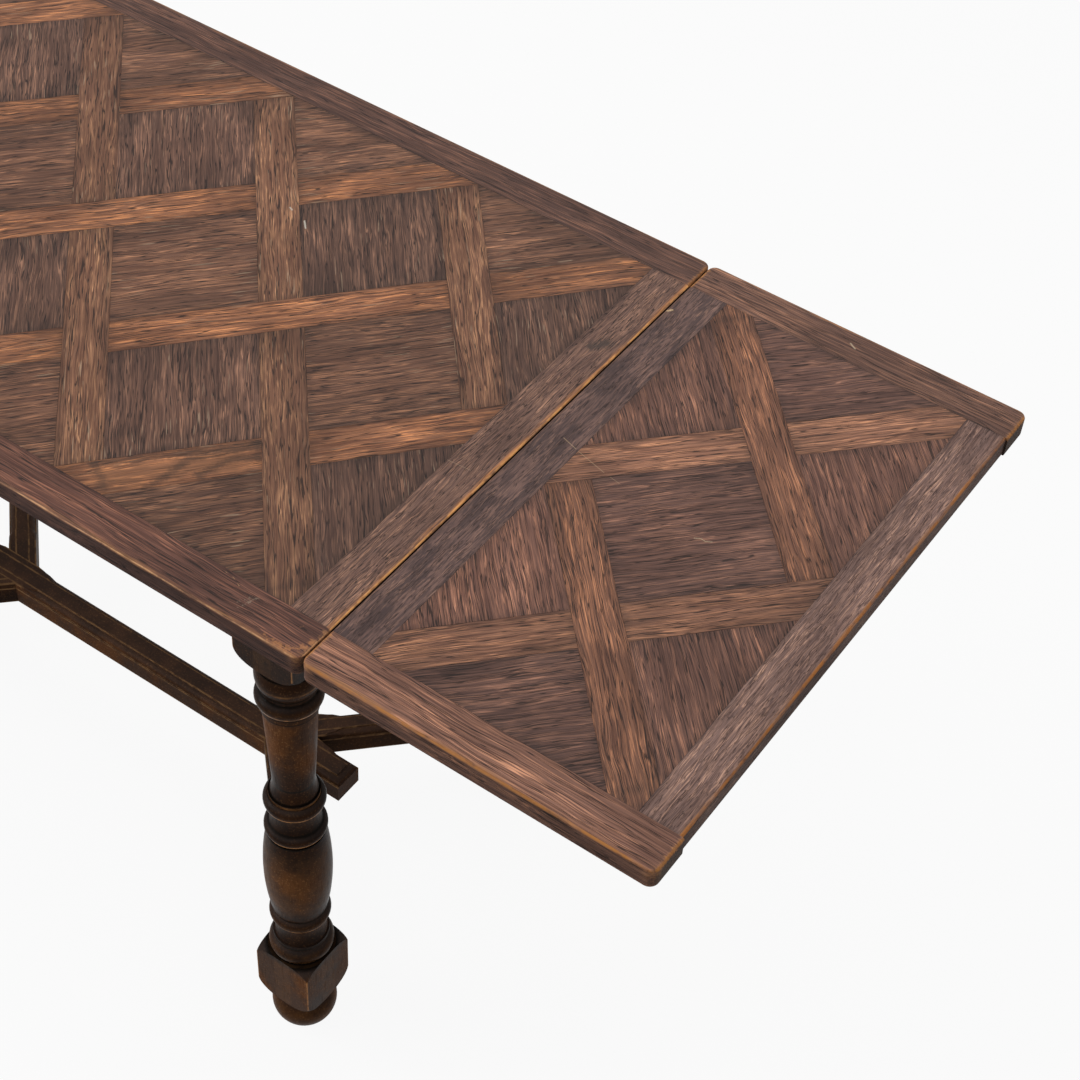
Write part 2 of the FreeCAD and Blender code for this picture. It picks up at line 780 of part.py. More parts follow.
os.makedirs("parts", exist_ok=True)
for node, solids in all_parts().items():
    shape = solids[0] if len(solids) == 1 else Part.makeCompound(solids)
    shape.exportStep("parts/" + node + ".step")
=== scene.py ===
"""Looks of an old oak draw-leaf table: woven parquet tops, turned legs and a moulded stretcher."""

import json
import logging
import math
from dataclasses import dataclass, field, replace
from enum import Enum
from typing import Dict, List, Optional, Sequence, Tuple, Union

import bpy
from mathutils import Euler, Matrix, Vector

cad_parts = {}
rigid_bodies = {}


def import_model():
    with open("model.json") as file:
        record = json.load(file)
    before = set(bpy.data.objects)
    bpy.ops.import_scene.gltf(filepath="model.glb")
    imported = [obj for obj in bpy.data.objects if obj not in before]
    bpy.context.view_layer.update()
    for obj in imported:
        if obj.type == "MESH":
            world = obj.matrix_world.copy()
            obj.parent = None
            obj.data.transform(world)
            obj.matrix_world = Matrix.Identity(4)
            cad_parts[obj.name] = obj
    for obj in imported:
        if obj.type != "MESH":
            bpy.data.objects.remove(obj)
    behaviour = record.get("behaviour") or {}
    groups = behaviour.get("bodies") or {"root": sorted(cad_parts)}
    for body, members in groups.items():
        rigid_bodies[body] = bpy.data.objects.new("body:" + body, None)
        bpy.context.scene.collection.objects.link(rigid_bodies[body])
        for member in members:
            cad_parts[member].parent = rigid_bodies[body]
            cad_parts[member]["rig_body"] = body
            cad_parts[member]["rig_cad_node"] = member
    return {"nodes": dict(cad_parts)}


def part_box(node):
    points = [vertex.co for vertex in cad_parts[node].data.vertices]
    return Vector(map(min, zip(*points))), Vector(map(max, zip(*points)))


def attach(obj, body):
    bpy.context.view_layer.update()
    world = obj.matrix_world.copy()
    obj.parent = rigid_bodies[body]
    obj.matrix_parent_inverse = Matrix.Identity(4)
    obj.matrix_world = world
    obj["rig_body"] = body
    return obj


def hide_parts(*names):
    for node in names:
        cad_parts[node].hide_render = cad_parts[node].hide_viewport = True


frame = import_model()

LOG = logging.getLogger("draw_leaf_table")
MM = 0.001
FAR_AWAY = 1.0
WHITE = (1.0, 1.0, 1.0, 1.0)
Colour = Tuple[float, float, float]
Place = Tuple[float, float, float]
Spot = Tuple[float, float]
Span = Tuple[float, float]
Number = Union[float, "Value"]


class Value:
    """Output socket of a shader node that takes part in Python arithmetic."""

    def __init__(self, sheet: "Nodes", socket: bpy.types.NodeSocket) -> None:
        """Keep the socket and the nodes that it belongs to."""
        self.sheet = sheet
        self.socket = socket

    def __add__(self, other: Number) -> "Value":
        """Sum of two values."""
        return self.sheet.math("ADD", self, other)

    __radd__ = __add__

    def __sub__(self, other: Number) -> "Value":
        """Difference of two values."""
        return self.sheet.math("SUBTRACT", self, other)

    def __rsub__(self, other: Number) -> "Value":
        """Difference with this value taken away."""
        return self.sheet.math("SUBTRACT", other, self)

    def __mul__(self, other: Number) -> "Value":
        """Product of two values."""
        return self.sheet.math("MULTIPLY", self, other)

    __rmul__ = __mul__

    def __truediv__(self, other: Number) -> "Value":
        """Quotient of two values."""
        return self.sheet.math("DIVIDE", self, other)

    def __abs__(self) -> "Value":
        """Size of a value without its sign."""
        return self.sheet.math("ABSOLUTE", self)

    def rounded(self) -> "Value":
        """Nearest whole number."""
        return self.sheet.math("ROUND", self)

    def floored(self) -> "Value":
        """Whole number below."""
        return self.sheet.math("FLOOR", self)

    def root(self) -> "Value":
        """Square root."""
        return self.sheet.math("SQRT", self)

    def least(self, other: Number) -> "Value":
        """Smaller of two values."""
        return self.sheet.math("MINIMUM", self, other)

    def most(self, other: Number) -> "Value":
        """Larger of two values."""
        return self.sheet.math("MAXIMUM", self, other)

    def rising(self, low: float, high: float) -> "Value":
        """Smooth step from 0 at low to 1 at high."""
        step = self.sheet.node("ShaderNodeMapRange", {"interpolation_type": "SMOOTHSTEP"},
                               {0: self, 1: low, 2: high, 3: 0.0, 4: 1.0})
        return Value(self.sheet, step.outputs[0])

    def falling(self, low: float, high: float) -> "Value":
        """Smooth step from 1 at low to 0 at high."""
        return 1.0 - self.rising(low, high)


Given = Union[Value, bpy.types.NodeSocket, float, Sequence[float]]


def between(share: Number, low: float, high: float = 1.0) -> Number:
    """Number that lies a share of the way from low to high."""
    return low + (high - low) * share


class Nodes:
    """Nodes of a material or of the world, each made by one method."""

    def __init__(self, tree: bpy.types.NodeTree) -> None:
        """Empty a node tree and keep it."""
        self.tree = tree
        self.tree.nodes.clear()

    def node(self, kind: str, settings: Optional[Dict[str, object]] = None,
             inputs: Optional[Dict[Union[int, str], Given]] = None) -> bpy.types.Node:
        """Add a node.

        Args:
            kind: Blender's name for the node's type.
            settings: Properties that are set before the sockets.
            inputs: Values or links of its input sockets.

        Returns:
            The new node.
        """
        made = self.tree.nodes.new(kind)
        for name, setting in (settings or {}).items():
            setattr(made, name, setting)
        for name, given in (inputs or {}).items():
            given = given.socket if isinstance(given, Value) else given
            if isinstance(given, bpy.types.NodeSocket):
                self.tree.links.new(given, made.inputs[name])
            else:
                made.inputs[name].default_value = given
        return made

    def math(self, operation: str, *operands: Number) -> Value:
        """Math node on one or two values."""
        made = self.node("ShaderNodeMath", {"operation": operation}, dict(enumerate(operands)))
        return Value(self, made.outputs[0])

    def shown_rays(self) -> Value:
        """Find the rays that show a background.

        Returns:
            1 for rays from the camera and for mirrored and passed ones, else 0.
        """
        rays = self.node("ShaderNodeLightPath").outputs
        kinds = ("Camera", "Glossy", "Transmission")
        camera, mirrored, passed = (Value(self, rays[f"Is {kind} Ray"]) for kind in kinds)
        return camera.most(mirrored).most(passed)


class Sheet(Nodes):
    """Node sheet of one material."""

    def __init__(self, name: str) -> None:
        """Start an empty sheet with a principled shader.

        Args:
            name: Name of the new material.
        """
        self.material = bpy.data.materials.new(name)
        self.material.use_nodes = True
        super().__init__(self.material.node_tree)
        self.shader = self.node("ShaderNodeBsdfPrincipled")
        self.output = self.node("ShaderNodeOutputMaterial", inputs={"Surface": self.shader.outputs[0]})
        place = self.node("ShaderNodeTexCoord").outputs["Object"]
        self.x, self.y, self.z = self.parts(place)

    def parts(self, vector: bpy.types.NodeSocket) -> Tuple[Value, Value, Value]:
        """Take a vector apart.

        Args:
            vector: Socket of the vector.

        Returns:
            The three values that it is made of.
        """
        apart = self.node("ShaderNodeSeparateXYZ", inputs={0: vector})
        first, second, third = (Value(self, apart.outputs[axis]) for axis in range(3))
        return first, second, third

    def vector(self, x: Number, y: Number, z: Number) -> bpy.types.NodeSocket:
        """Vector from three values."""
        return self.node("ShaderNodeCombineXYZ", inputs={0: x, 1: y, 2: z}).outputs[0]

    def facing(self) -> Tuple[Value, Value, Value]:
        """Direction that the surface faces."""
        return self.parts(self.node("ShaderNodeNewGeometry").outputs["Normal"])

    def upward(self, low: float, high: float) -> Value:
        """Smooth step from 0 to 1 as the surface turns to face up."""
        return self.facing()[2].rising(low, high)

    def noise(self, vector: bpy.types.NodeSocket, detail: float = 3.0, roughness: float = 0.55) -> Value:
        """Smooth noise of about one feature per unit of the vector."""
        made = self.node("ShaderNodeTexNoise", inputs={"Vector": vector, "Scale": 1.0, "Detail": detail,
                                                       "Roughness": roughness})
        return Value(self, made.outputs[0])

    def cloud(self, rate: float, detail: float = 4.0) -> Value:
        """Noise that is the same in every direction, with about so many features per metre."""
        return self.noise(self.vector(self.x * rate, self.y * rate, self.z * rate), detail, roughness=0.6)

    def wobble(self, rate: float, reach: float, detail: float = 2.0) -> Value:
        """Noise about zero that makes an edge ragged by up to half a reach either way."""
        return (self.cloud(rate, detail) - 0.5) * reach

    def chances(self, vector: bpy.types.NodeSocket) -> Tuple[Value, Value, Value]:
        """Three even random values that change with the vector."""
        made = self.node("ShaderNodeTexWhiteNoise", {"noise_dimensions": "3D"}, {"Vector": vector})
        return self.parts(made.outputs["Color"])

    def blend(self, share: Number, first: Given, second: Given) -> bpy.types.NodeSocket:
        """Colour between two colours.

        Args:
            share: 0 gives the first colour and 1 the second.
            first: Colour or colour socket.
            second: Colour or colour socket.

        Returns:
            Socket of the mixed colour.
        """
        colours = [(*colour, 1.0) if isinstance(colour, tuple) else colour for colour in (first, second)]
        made = self.node("ShaderNodeMix", {"data_type": "RGBA", "clamp_factor": True},
                         {0: share, 6: colours[0], 7: colours[1]})
        return made.outputs[2]

    def scaled(self, colour: bpy.types.NodeSocket, by: Number) -> bpy.types.NodeSocket:
        """Colour made brighter or darker."""
        return self.node("ShaderNodeVectorMath", {"operation": "SCALE"}, {0: colour, "Scale": by}).outputs[0]

    def finish(self, colour: bpy.types.NodeSocket, roughness: Value, height: Value, depth: float,
               gloss: float) -> bpy.types.Material:
        """Join colour, roughness and relief to the shader.

        Args:
            colour: Socket of the base colour.
            roughness: Value of the roughness.
            height: Relief, 1 at its highest.
            depth: Depth of the relief in metres.
            gloss: Specular level of the surface.

        Returns:
            The finished material.
        """
        bump = self.node("ShaderNodeBump", inputs={"Strength": 1.0, "Distance": depth, "Height": height})
        self.tree.links.new(colour, self.shader.inputs["Base Color"])
        self.tree.links.new(roughness.socket, self.shader.inputs["Roughness"])
        self.tree.links.new(bump.outputs[0], self.shader.inputs["Normal"])
        self.shader.inputs["Specular IOR Level"].default_value = gloss
        return self.material


@dataclass
class Grain:
    """Directions of a piece's wood, with chances that make each piece its own, and masks of its wear, of the
    painted highlight on its rim and of the painted shade in a seam.
    """

    along: Number
    across: Number
    depth: Number
    chance: Tuple[Number, Number, Number] = (0.5, 0.5, 0.5)
    soil: Optional[Value] = None
    wear: Optional[Value] = None
    rim: Optional[Value] = None
    end: Optional[Value] = None
    soot: Optional[Value] = None
    shifts: Place = (0.9, 0.7, 0.5)

    @classmethod
    def of_board(cls, sheet: Sheet, runs_along: bool) -> "Grain":
        """Grain of a board that runs along the table or across it."""
        along, across = (sheet.x, sheet.y) if runs_along else (sheet.y, sheet.x)
        return cls(along, across, sheet.z)

    def seated(self) -> "Grain":
        """Move the grain by its chances.

        Returns:
            The same grain elsewhere in a plank, so that no two pieces show the same part of it.
        """
        places = (self.along, self.across, self.depth)
        along, across, depth = (place + chance * shift
                                for place, chance, shift in zip(places, self.chance, self.shifts))
        return replace(self, along=along, across=across, depth=depth)

    def wandering(self, sheet: Sheet, reach: float) -> "Grain":
        """The same grain with its lines bent sideways by up to about half a reach."""
        drift = self.noise(sheet, run=11.0, rate=34.0, detail=2.0)
        return replace(self, across=self.across + (drift - 0.5) * reach)

    def noise(self, sheet: Sheet, run: float, rate: float, detail: float = 3.0,
              roughness: float = 0.55) -> Value:
        """Noise drawn out along the grain.

        Args:
            sheet: Sheet of the material.
            run: Features per metre along the grain.
            rate: Features per metre across the grain.
            detail: Octaves of finer noise.
            roughness: Strength of the finer noise.

        Returns:
            The noise.
        """
        vector = sheet.vector(self.along * run, self.across * rate, self.depth * rate)
        return sheet.noise(vector, detail, roughness)

    def lines(self, sheet: Sheet, run: float, rate: float, width: float) -> Value:
        """Thin lines along the grain, where a drawn-out noise passes its middle."""
        off_middle = abs(self.noise(sheet, run, rate, detail=1.0, roughness=0.5) - 0.5)
        return off_middle.falling(0.35 * width, width)


@dataclass(frozen=True)
class JointSoil:
    """Soil in a joint between two boards and beside it."""

    width: float
    strength: float
    patch_rate: float = 60.0
    line_edge: Span = (0.1 * MM, 0.7 * MM)
    line_rate: float = 24.0
    line_strength: Span = (0.10, 0.50)

    def mask(self, sheet: Sheet, gap: Value, faded: Number = 0.0) -> Value:
        """Share of soil at each place.

        Args:
            sheet: Sheet of the material.
            gap: Distance from the joint.
            faded: Share that is darkened anyway.

        Returns:
            The ragged soil beside the joint, or the dark line in it where that is stronger.
        """
        ragged = sheet.wobble(self.patch_rate, 2.0 * self.width, detail=4.0)
        beside = (gap + ragged).falling(0.0, self.width) * self.strength
        patch = sheet.cloud(self.line_rate).rising(0.40, 0.60)
        inside = gap.falling(*self.line_edge) * between(patch, *self.line_strength)
        return (beside + faded).most(inside)


@dataclass(frozen=True)
class Mark:
    """A scratch, chip, fleck, knot or dark wisp along a path on a piece's upper face, in millimetres.

    The waver says how ragged its edges are, and broken how many gaps it has per metre.
    """

    node: str
    path: Tuple[Spot, ...]
    half_width: float
    colour: Colour
    strength: float
    waver: float = 2.0
    broken: float = 0.0

    def distance(self, sheet: Sheet) -> Value:
        """Measure from the path.

        Args:
            sheet: Sheet of the material.

        Returns:
            Distance of each place from the path, in metres.
        """
        away: Number = FAR_AWAY
        for (from_x, from_y), (to_x, to_y) in zip(self.path, self.path[1:]):
            run_x, run_y = (to_x - from_x) * MM, (to_y - from_y) * MM
            off_x = sheet.x - from_x * MM
            off_y = sheet.y - from_y * MM
            share = ((off_x * run_x + off_y * run_y) / (run_x ** 2 + run_y ** 2)).most(0.0).least(1.0)
            off_x = off_x - share * run_x
            off_y = off_y - share * run_y
            away = (off_x * off_x + off_y * off_y).root().least(away)
        return away

    def mask(self, sheet: Sheet) -> Value:
        """Draw the mark with ragged edges.

        Args:
            sheet: Sheet of the material.

        Returns:
            Share of the mark at each place.
        """
        reach = self.half_width * MM
        ragged = sheet.wobble(1.4 / reach, reach * self.waver, detail=3.0)
        share = (self.distance(sheet) + ragged).falling(0.1 * reach, 1.6 * reach) * self.strength
        if self.broken:
            share = share * sheet.upward(0.3, 0.8) * sheet.cloud(self.broken, 3.0).rising(0.44, 0.60)
        return share


def tinted(colour: Colour, gains: Colour) -> Colour:
    """Colour with each of its parts multiplied by a gain."""
    red, green, blue = (part * gain for part, gain in zip(colour, gains))
    return red, green, blue


@dataclass(frozen=True)
class OakTone:
    """Colours and coarseness of one oak piece, from its open pores to its worn edges, with painted shade and a
    painted rim highlight.
    """

    body: Colour
    light_gain: Colour = (3.60, 3.55, 2.95)
    shade_share: Colour = (0.53, 0.46, 0.45)
    pore: Colour = (0.016, 0.0078, 0.006)
    worn: Colour = (0.40, 0.185, 0.075)
    # Bare wood on the rim, bright enough to be a painted highlight on the arris as well.
    rim: Colour = (0.44, 0.175, 0.040)
    end_light: Colour = (0.070, 0.044, 0.032)
    end_dark: Colour = (0.018, 0.012, 0.009)
    speck: Colour = (0.42, 0.30, 0.20)
    # Near-black colour of the painted shade in a seam.
    soot: Colour = (0.004, 0.003, 0.002)
    fibre_rate: float = 420.0
    fibre_run: float = 13.0
    ring_rate: float = 200.0
    thread_rate: float = 440.0
    thread_run: float = 20.0
    pore_run: float = 26.0
    figure: float = 0.15
    wander: float = 0.009
    streaks: float = 0.95
    pores: float = 0.90
    specks: float = 0.0
    # Painted shade: share of brightness kept on faces that turn away from up, as though all light fell from
    # above.
    side_share: float = 0.42
    roughness: float = 0.50
    gloss: float = 0.21

    @property
    def light(self) -> Colour:
        """Colour of the pale fibres."""
        return tinted(self.body, self.light_gain)

    @property
    def shade(self) -> Colour:
        """Colour between the fibres."""
        return tinted(self.body, self.shade_share)


@dataclass
class Fibres:
    """Structure of a piece's wood: bent grain, and masks of its fibres, pores, figure and rubbed patches."""

    bent: Grain
    fibre: Value
    pale: Value
    dark: Value
    flame: Value
    rub: Value


@dataclass(frozen=True)
class OakFinish:
    """Open-grained old oak: pale fibres, dark pores, growth rings, rubbed patches, soil, worn edges, painted
    shade and painted highlights.
    """

    tone: OakTone
    thread_width: float = 0.050
    fine_width: float = 0.075
    pore_width: float = 0.046
    fibre_edge: Span = (0.38, 0.60)
    bare_edge: Span = (0.36, 0.60)
    piece_brightness: Span = (0.86, 1.14)
    rub_brightness: Span = (0.90, 1.12)
    end_rate: float = 420.0
    end_rise: float = 700.0
    relief: float = 0.30 * MM

    def fibres(self, sheet: Sheet, grain: Grain) -> Fibres:
        """Work out the wood's structure.

        Args:
            sheet: Sheet of the new material.
            grain: Directions and chances of the wood.

        Returns:
            The structure.
        """
        tone = self.tone
        run, rate = tone.thread_run, tone.thread_rate
        seated = grain.seated()
        bent = seated.wandering(sheet, tone.wander)
        ring = bent.noise(sheet, run=2.0, rate=tone.ring_rate, detail=2.0).rising(0.38, 0.60)
        rub = seated.noise(sheet, run=9.0, rate=26.0, roughness=0.6).rising(0.36, 0.64)
        thread = bent.lines(sheet, run, rate, self.thread_width)
        fine = bent.lines(sheet, run * 1.7, rate * 1.8, self.fine_width)
        broken = bent.noise(sheet, run * 1.4, rate * 0.5, detail=2.0).rising(0.38, 0.58)
        pore = bent.lines(sheet, tone.pore_run, rate, self.pore_width)
        sparse = bent.noise(sheet, tone.pore_run * 0.5, rate * 0.65, detail=1.0).rising(0.36, 0.52)
        return Fibres(
            bent=bent,
            fibre=bent.noise(sheet, tone.fibre_run, tone.fibre_rate, roughness=0.62),
            pale=thread.most(fine * 0.5) * between(broken, 0.30) * between(rub, 0.40) * between(ring, 0.55),
            dark=pore * sparse,
            flame=bent.noise(sheet, run=16.0, rate=62.0, roughness=0.6).rising(0.50, 0.58),
            rub=rub,
        )

    def aged(self, sheet: Sheet, grain: Grain, wood: Fibres,
             colour: bpy.types.NodeSocket) -> bpy.types.NodeSocket:
        """Lay dust, sawn ends, worn edges with their painted rim highlight, and the painted shade of seams over
        the wood.

        Args:
            sheet: Sheet of the new material.
            grain: Masks of the wear.
            wood: Structure of the wood.
            colour: Socket of the wood's colour.

        Returns:
            Socket of the aged colour.
        """
        tone = self.tone
        if tone.specks:
            dust = wood.bent.noise(sheet, tone.pore_run * 1.4, tone.fibre_rate * 1.2, detail=1.0)
            dusty = dust.rising(0.66, 0.71) * sheet.cloud(14.0).rising(0.45, 0.62)
            colour = sheet.blend(dusty * tone.specks, colour, tone.speck)
        if grain.end is not None:
            rings = sheet.vector(sheet.x * self.end_rate, sheet.y * self.end_rate, sheet.z * self.end_rise)
            ring = sheet.noise(rings, roughness=0.6).rising(0.38, 0.62)
            colour = sheet.blend(grain.end, colour, sheet.blend(ring, tone.end_dark, tone.end_light))
        if grain.wear is not None and grain.rim is not None:
            bare = wood.fibre.rising(*self.bare_edge)
            colour = sheet.blend(grain.wear, colour, sheet.blend(bare, tone.body, tone.worn))
            # Bare wood on the very rim, painted bright as a highlight on the arris.
            colour = sheet.blend(grain.rim * between(bare, 0.70), colour, tone.rim)
        # Painted shade: the seam wall between two tops is darkened to near black.
        if grain.soot is not None:
            colour = sheet.blend(grain.soot, colour, tone.soot)
        return colour

    def paint(self, sheet: Sheet, grain: Grain, marks: Sequence[Mark] = ()) -> bpy.types.Material:
        """Fill a sheet with this oak.

        Args:
            sheet: Sheet of the new material.
            grain: Directions, chances and masks of the wood.
            marks: Marks on this piece.

        Returns:
            The finished material.
        """
        tone = self.tone
        wood = self.fibres(sheet, grain)
        plain = wood.fibre.rising(*self.fibre_edge) * (1.0 - wood.flame * tone.figure)
        colour = sheet.blend(plain, tone.shade, tone.body)
        colour = sheet.blend(wood.pale * tone.streaks, colour, tone.light)
        colour = sheet.blend(wood.dark * tone.pores, colour, tone.pore)
        upper = sheet.upward(0.15, 0.80)
        brightness = between(grain.chance[2], *self.piece_brightness) * between(wood.rub, *self.rub_brightness)
        # Painted shade: faces that turn away from up are darkened toward the side shade share.
        brightness = brightness * between(upper, tone.side_share)
        if grain.soil is not None:
            brightness = brightness * (1.0 - grain.soil)
        colour = self.aged(sheet, grain, wood, sheet.scaled(colour, brightness))
        for mark in marks:
            colour = sheet.blend(mark.mask(sheet), colour, mark.colour)
        height = 0.55 + wood.pale * 0.25 + wood.fibre * 0.3 - wood.dark * 0.45
        roughness = tone.roughness - wood.rub * 0.07 + wood.dark * 0.14 + (1.0 - upper) * 0.30
        return sheet.finish(colour, roughness, height, self.relief, tone.gloss)


class PieceKind(Enum):
    """Kinds of parquet piece in the weave."""

    FALLING_STRIPS = "falling_strips"
    RISING_STRIPS = "rising_strips"
    FALLING_SQUARES = "falling_squares"
    RISING_SQUARES = "rising_squares"

    @property
    def rises(self) -> bool:
        """Whether the grain rises to the right, seen from above."""
        return self in (PieceKind.RISING_STRIPS, PieceKind.RISING_SQUARES)


@dataclass
class WeavePanel:
    """Woven parquet field of a top, with its cells measured from the core board under it."""

    core: str
    strip: str
    columns: int
    rows: int = 2
    soil: JointSoil = JointSoil(width=9.0 * MM, strength=0.22)
    fade_length: float = 60.0 * MM
    fade: float = 0.20
    low: Vector = field(init=False)
    high: Vector = field(init=False)
    half: float = field(init=False)

    def __post_init__(self) -> None:
        """Measure the field and the strips' half width."""
        self.low, self.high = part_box(self.core)
        band_low, band_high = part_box(self.strip)
        self.half = (band_high.y - band_low.y) / 2

    @property
    def cell(self) -> Tuple[float, float]:
        """Size of a cell along and across the table."""
        return (self.high.x - self.low.x) / self.columns, (self.high.y - self.low.y) / self.rows

    def seat(self, kind: PieceKind, fall: Value, rise: Value,
             pitch: float) -> Tuple[Value, Value, Value, Value]:
        """Find the piece that a place lies in.

        Args:
            kind: Kind of parquet piece.
            fall: Place counted in falling strips.
            rise: Place counted in rising strips.
            pitch: Distance between neighbouring strips.

        Returns:
            The piece's two numbers, and the distances from its side and from its end.
        """
        if kind is PieceKind.FALLING_STRIPS:
            place_a = fall.rounded()
            place_b = ((rise - place_a - 1.0) / 2.0).rounded() * 2.0 + place_a + 1.0
            side = self.half - abs(fall - place_a) * pitch
            end = (1.0 - abs(rise - place_b)) * pitch - self.half
        elif kind is PieceKind.RISING_STRIPS:
            place_b = rise.rounded()
            place_a = ((fall - place_b) / 2.0).rounded() * 2.0 + place_b
            side = self.half - abs(rise - place_b) * pitch
            end = (1.0 - abs(fall - place_a)) * pitch - self.half
        else:
            place_a, place_b = fall.floored(), rise.floored()
            side = (0.5 - abs(fall - place_a - 0.5)) * pitch - self.half
            end = (0.5 - abs(rise - place_b - 0.5)) * pitch - self.half
        return place_a, place_b, abs(side), abs(end)

    def grain(self, sheet: Sheet, kind: PieceKind) -> Grain:
        """Grain of one kind of piece, with a chance for each piece and soil at its edges.

        Args:
            sheet: Sheet of the material.
            kind: Kind of parquet piece.

        Returns:
            The grain.
        """
        width, height = self.cell
        slant = math.hypot(width, height)
        column = (sheet.x - self.low.x) / width
        row = (sheet.y - self.low.y) / height
        place_a, place_b, side, end = self.seat(kind, column + row, row - column, width * height / slant)
        border = (sheet.x - self.low.x).least(self.high.x - sheet.x)
        border = border.least(sheet.y - self.low.y).least(self.high.y - sheet.y)
        faded = end.least(border).falling(0.0, self.fade_length) * self.fade
        toward = (width / slant, (height if kind.rises else -height) / slant)
        return Grain(
            along=sheet.x * toward[0] + sheet.y * toward[1],
            across=sheet.y * toward[0] - sheet.x * toward[1],
            depth=sheet.z,
            chance=sheet.chances(sheet.vector(place_a, place_b, float(len(kind.value)))),
            soil=self.soil.mask(sheet, side.least(end).least(border), faded),
        )


class Side(Enum):
    """Which side of a top a band lies on."""

    NEAR = "near"
    FAR = "far"
    LOW_END = "low end"
    HIGH_END = "high end"

    @property
    def runs_along(self) -> bool:
        """Whether a band on this side runs along the table."""
        return self in (Side.NEAR, Side.FAR)


@dataclass
class BoardEdges:
    """Distances of a place on a board from its top, outer edge and nearer end, and an uneven length."""

    from_top: Value
    from_outer: Value
    from_end: Value
    ragged: Value


@dataclass
class Band:
    """One board of the frame round a parquet field."""

    node: str
    side: Side
    tone: OakTone
    edge_wear: float
    seed: float
    wear_reach: float = 1.0
    soot_depth: float = 0.0
    rim_wear: float = 0.9
    rim_reach: float = 1.0
    soil: JointSoil = JointSoil(width=5.0 * MM, strength=0.2)

    def worn_arris(self, sheet: Sheet, edges: BoardEdges) -> Value:
        """Where the stain is worn off on the outer arris, and at the ends and corners of a long board.

        Args:
            sheet: Sheet of the material.
            edges: Distances from the board's edges.

        Returns:
            Share of worn wood.
        """
        reach = self.wear_reach * MM
        from_arris = edges.from_outer + edges.from_top * 1.6 + edges.ragged
        worn_through = sheet.cloud(13.0).rising(0.36, 0.60)
        arris = from_arris.falling(1.4 * reach, 5.0 * reach) * between(worn_through, 0.25)
        if self.side.runs_along:
            end = (edges.from_end + edges.from_top + edges.ragged).falling(1.6 * MM, 4.6 * MM)
            corner = (edges.from_end + edges.from_outer + edges.ragged * 1.5).falling(3.0 * MM, 16.0 * MM)
            upper = edges.from_top.falling(2.0 * MM, 13.0 * MM)
            arris = arris.most(end * 0.9).most(corner * between(upper, 0.15, 0.80))
        return arris * self.edge_wear

    def bare_rim(self, sheet: Sheet, edges: BoardEdges) -> Value:
        """Bare line along the very edge of the top, painted bright as a highlight on the arris.

        Args:
            sheet: Sheet of the material.
            edges: Distances from the board's edges.

        Returns:
            Share of bare wood and painted highlight.
        """
        spread = self.rim_reach * MM
        from_side = edges.from_outer.least(edges.from_end) if self.side.runs_along else edges.from_outer
        rim = (from_side + edges.ragged * (0.30 * self.rim_reach)).falling(1.4 * spread, 3.0 * spread)
        rim = rim * edges.from_top.falling(1.2 * spread, 2.8 * spread)
        return rim * between(sheet.cloud(45.0).rising(0.40, 0.58), 0.22) * self.rim_wear

    def seam_soot(self, edges: BoardEdges) -> Optional[Value]:
        """Painted shade, black, low on the outer edge of a board that meets another top, where the seam lies in
        shade.

        Args:
            edges: Distances from the board's edges.

        Returns:
            Share of painted shade, or nothing on an edge without a seam.
        """
        if not self.soot_depth:
            return None
        depth = self.soot_depth * MM
        return edges.from_top.rising(0.5 * depth, depth) * edges.from_outer.falling(4.0 * MM, 6.0 * MM)

    def grain(self, sheet: Sheet) -> Grain:
        """Grain along the board, with worn outer edges and a painted rim highlight, a joint on its inner edge,
        sawn ends and painted seam shade.

        Args:
            sheet: Sheet of the material.

        Returns:
            The grain.
        """
        low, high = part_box(self.node)
        lie = Grain.of_board(sheet, self.side.runs_along)
        ends = (low.x, high.x) if self.side.runs_along else (low.y, high.y)
        outer, inner = {
            Side.NEAR: (low.y, high.y), Side.FAR: (high.y, low.y),
            Side.LOW_END: (low.x, high.x), Side.HIGH_END: (high.x, low.x),
        }[self.side]
        streaked = lie.noise(sheet, run=16.0, rate=300.0, detail=4.0, roughness=0.62)
        edges = BoardEdges(
            from_top=high.z - sheet.z,
            from_outer=abs(lie.across - outer),
            from_end=(lie.along - ends[0]).least(ends[1] - lie.along),
            ragged=(streaked - 0.5) * (11.0 * MM),
        )
        gap = abs(lie.across - inner)
        sawn = None
        if self.side.runs_along:
            sawn = abs(sheet.facing()[0]).rising(0.75, 0.95) * 0.85
        else:
            gap = gap.least(edges.from_end)
        return replace(lie, chance=(self.seed, 0.37 + self.seed * 0.61, 0.5), soil=self.soil.mask(sheet, gap),
                       wear=self.worn_arris(sheet, edges), rim=self.bare_rim(sheet, edges), end=sawn,
                       soot=self.seam_soot(edges))


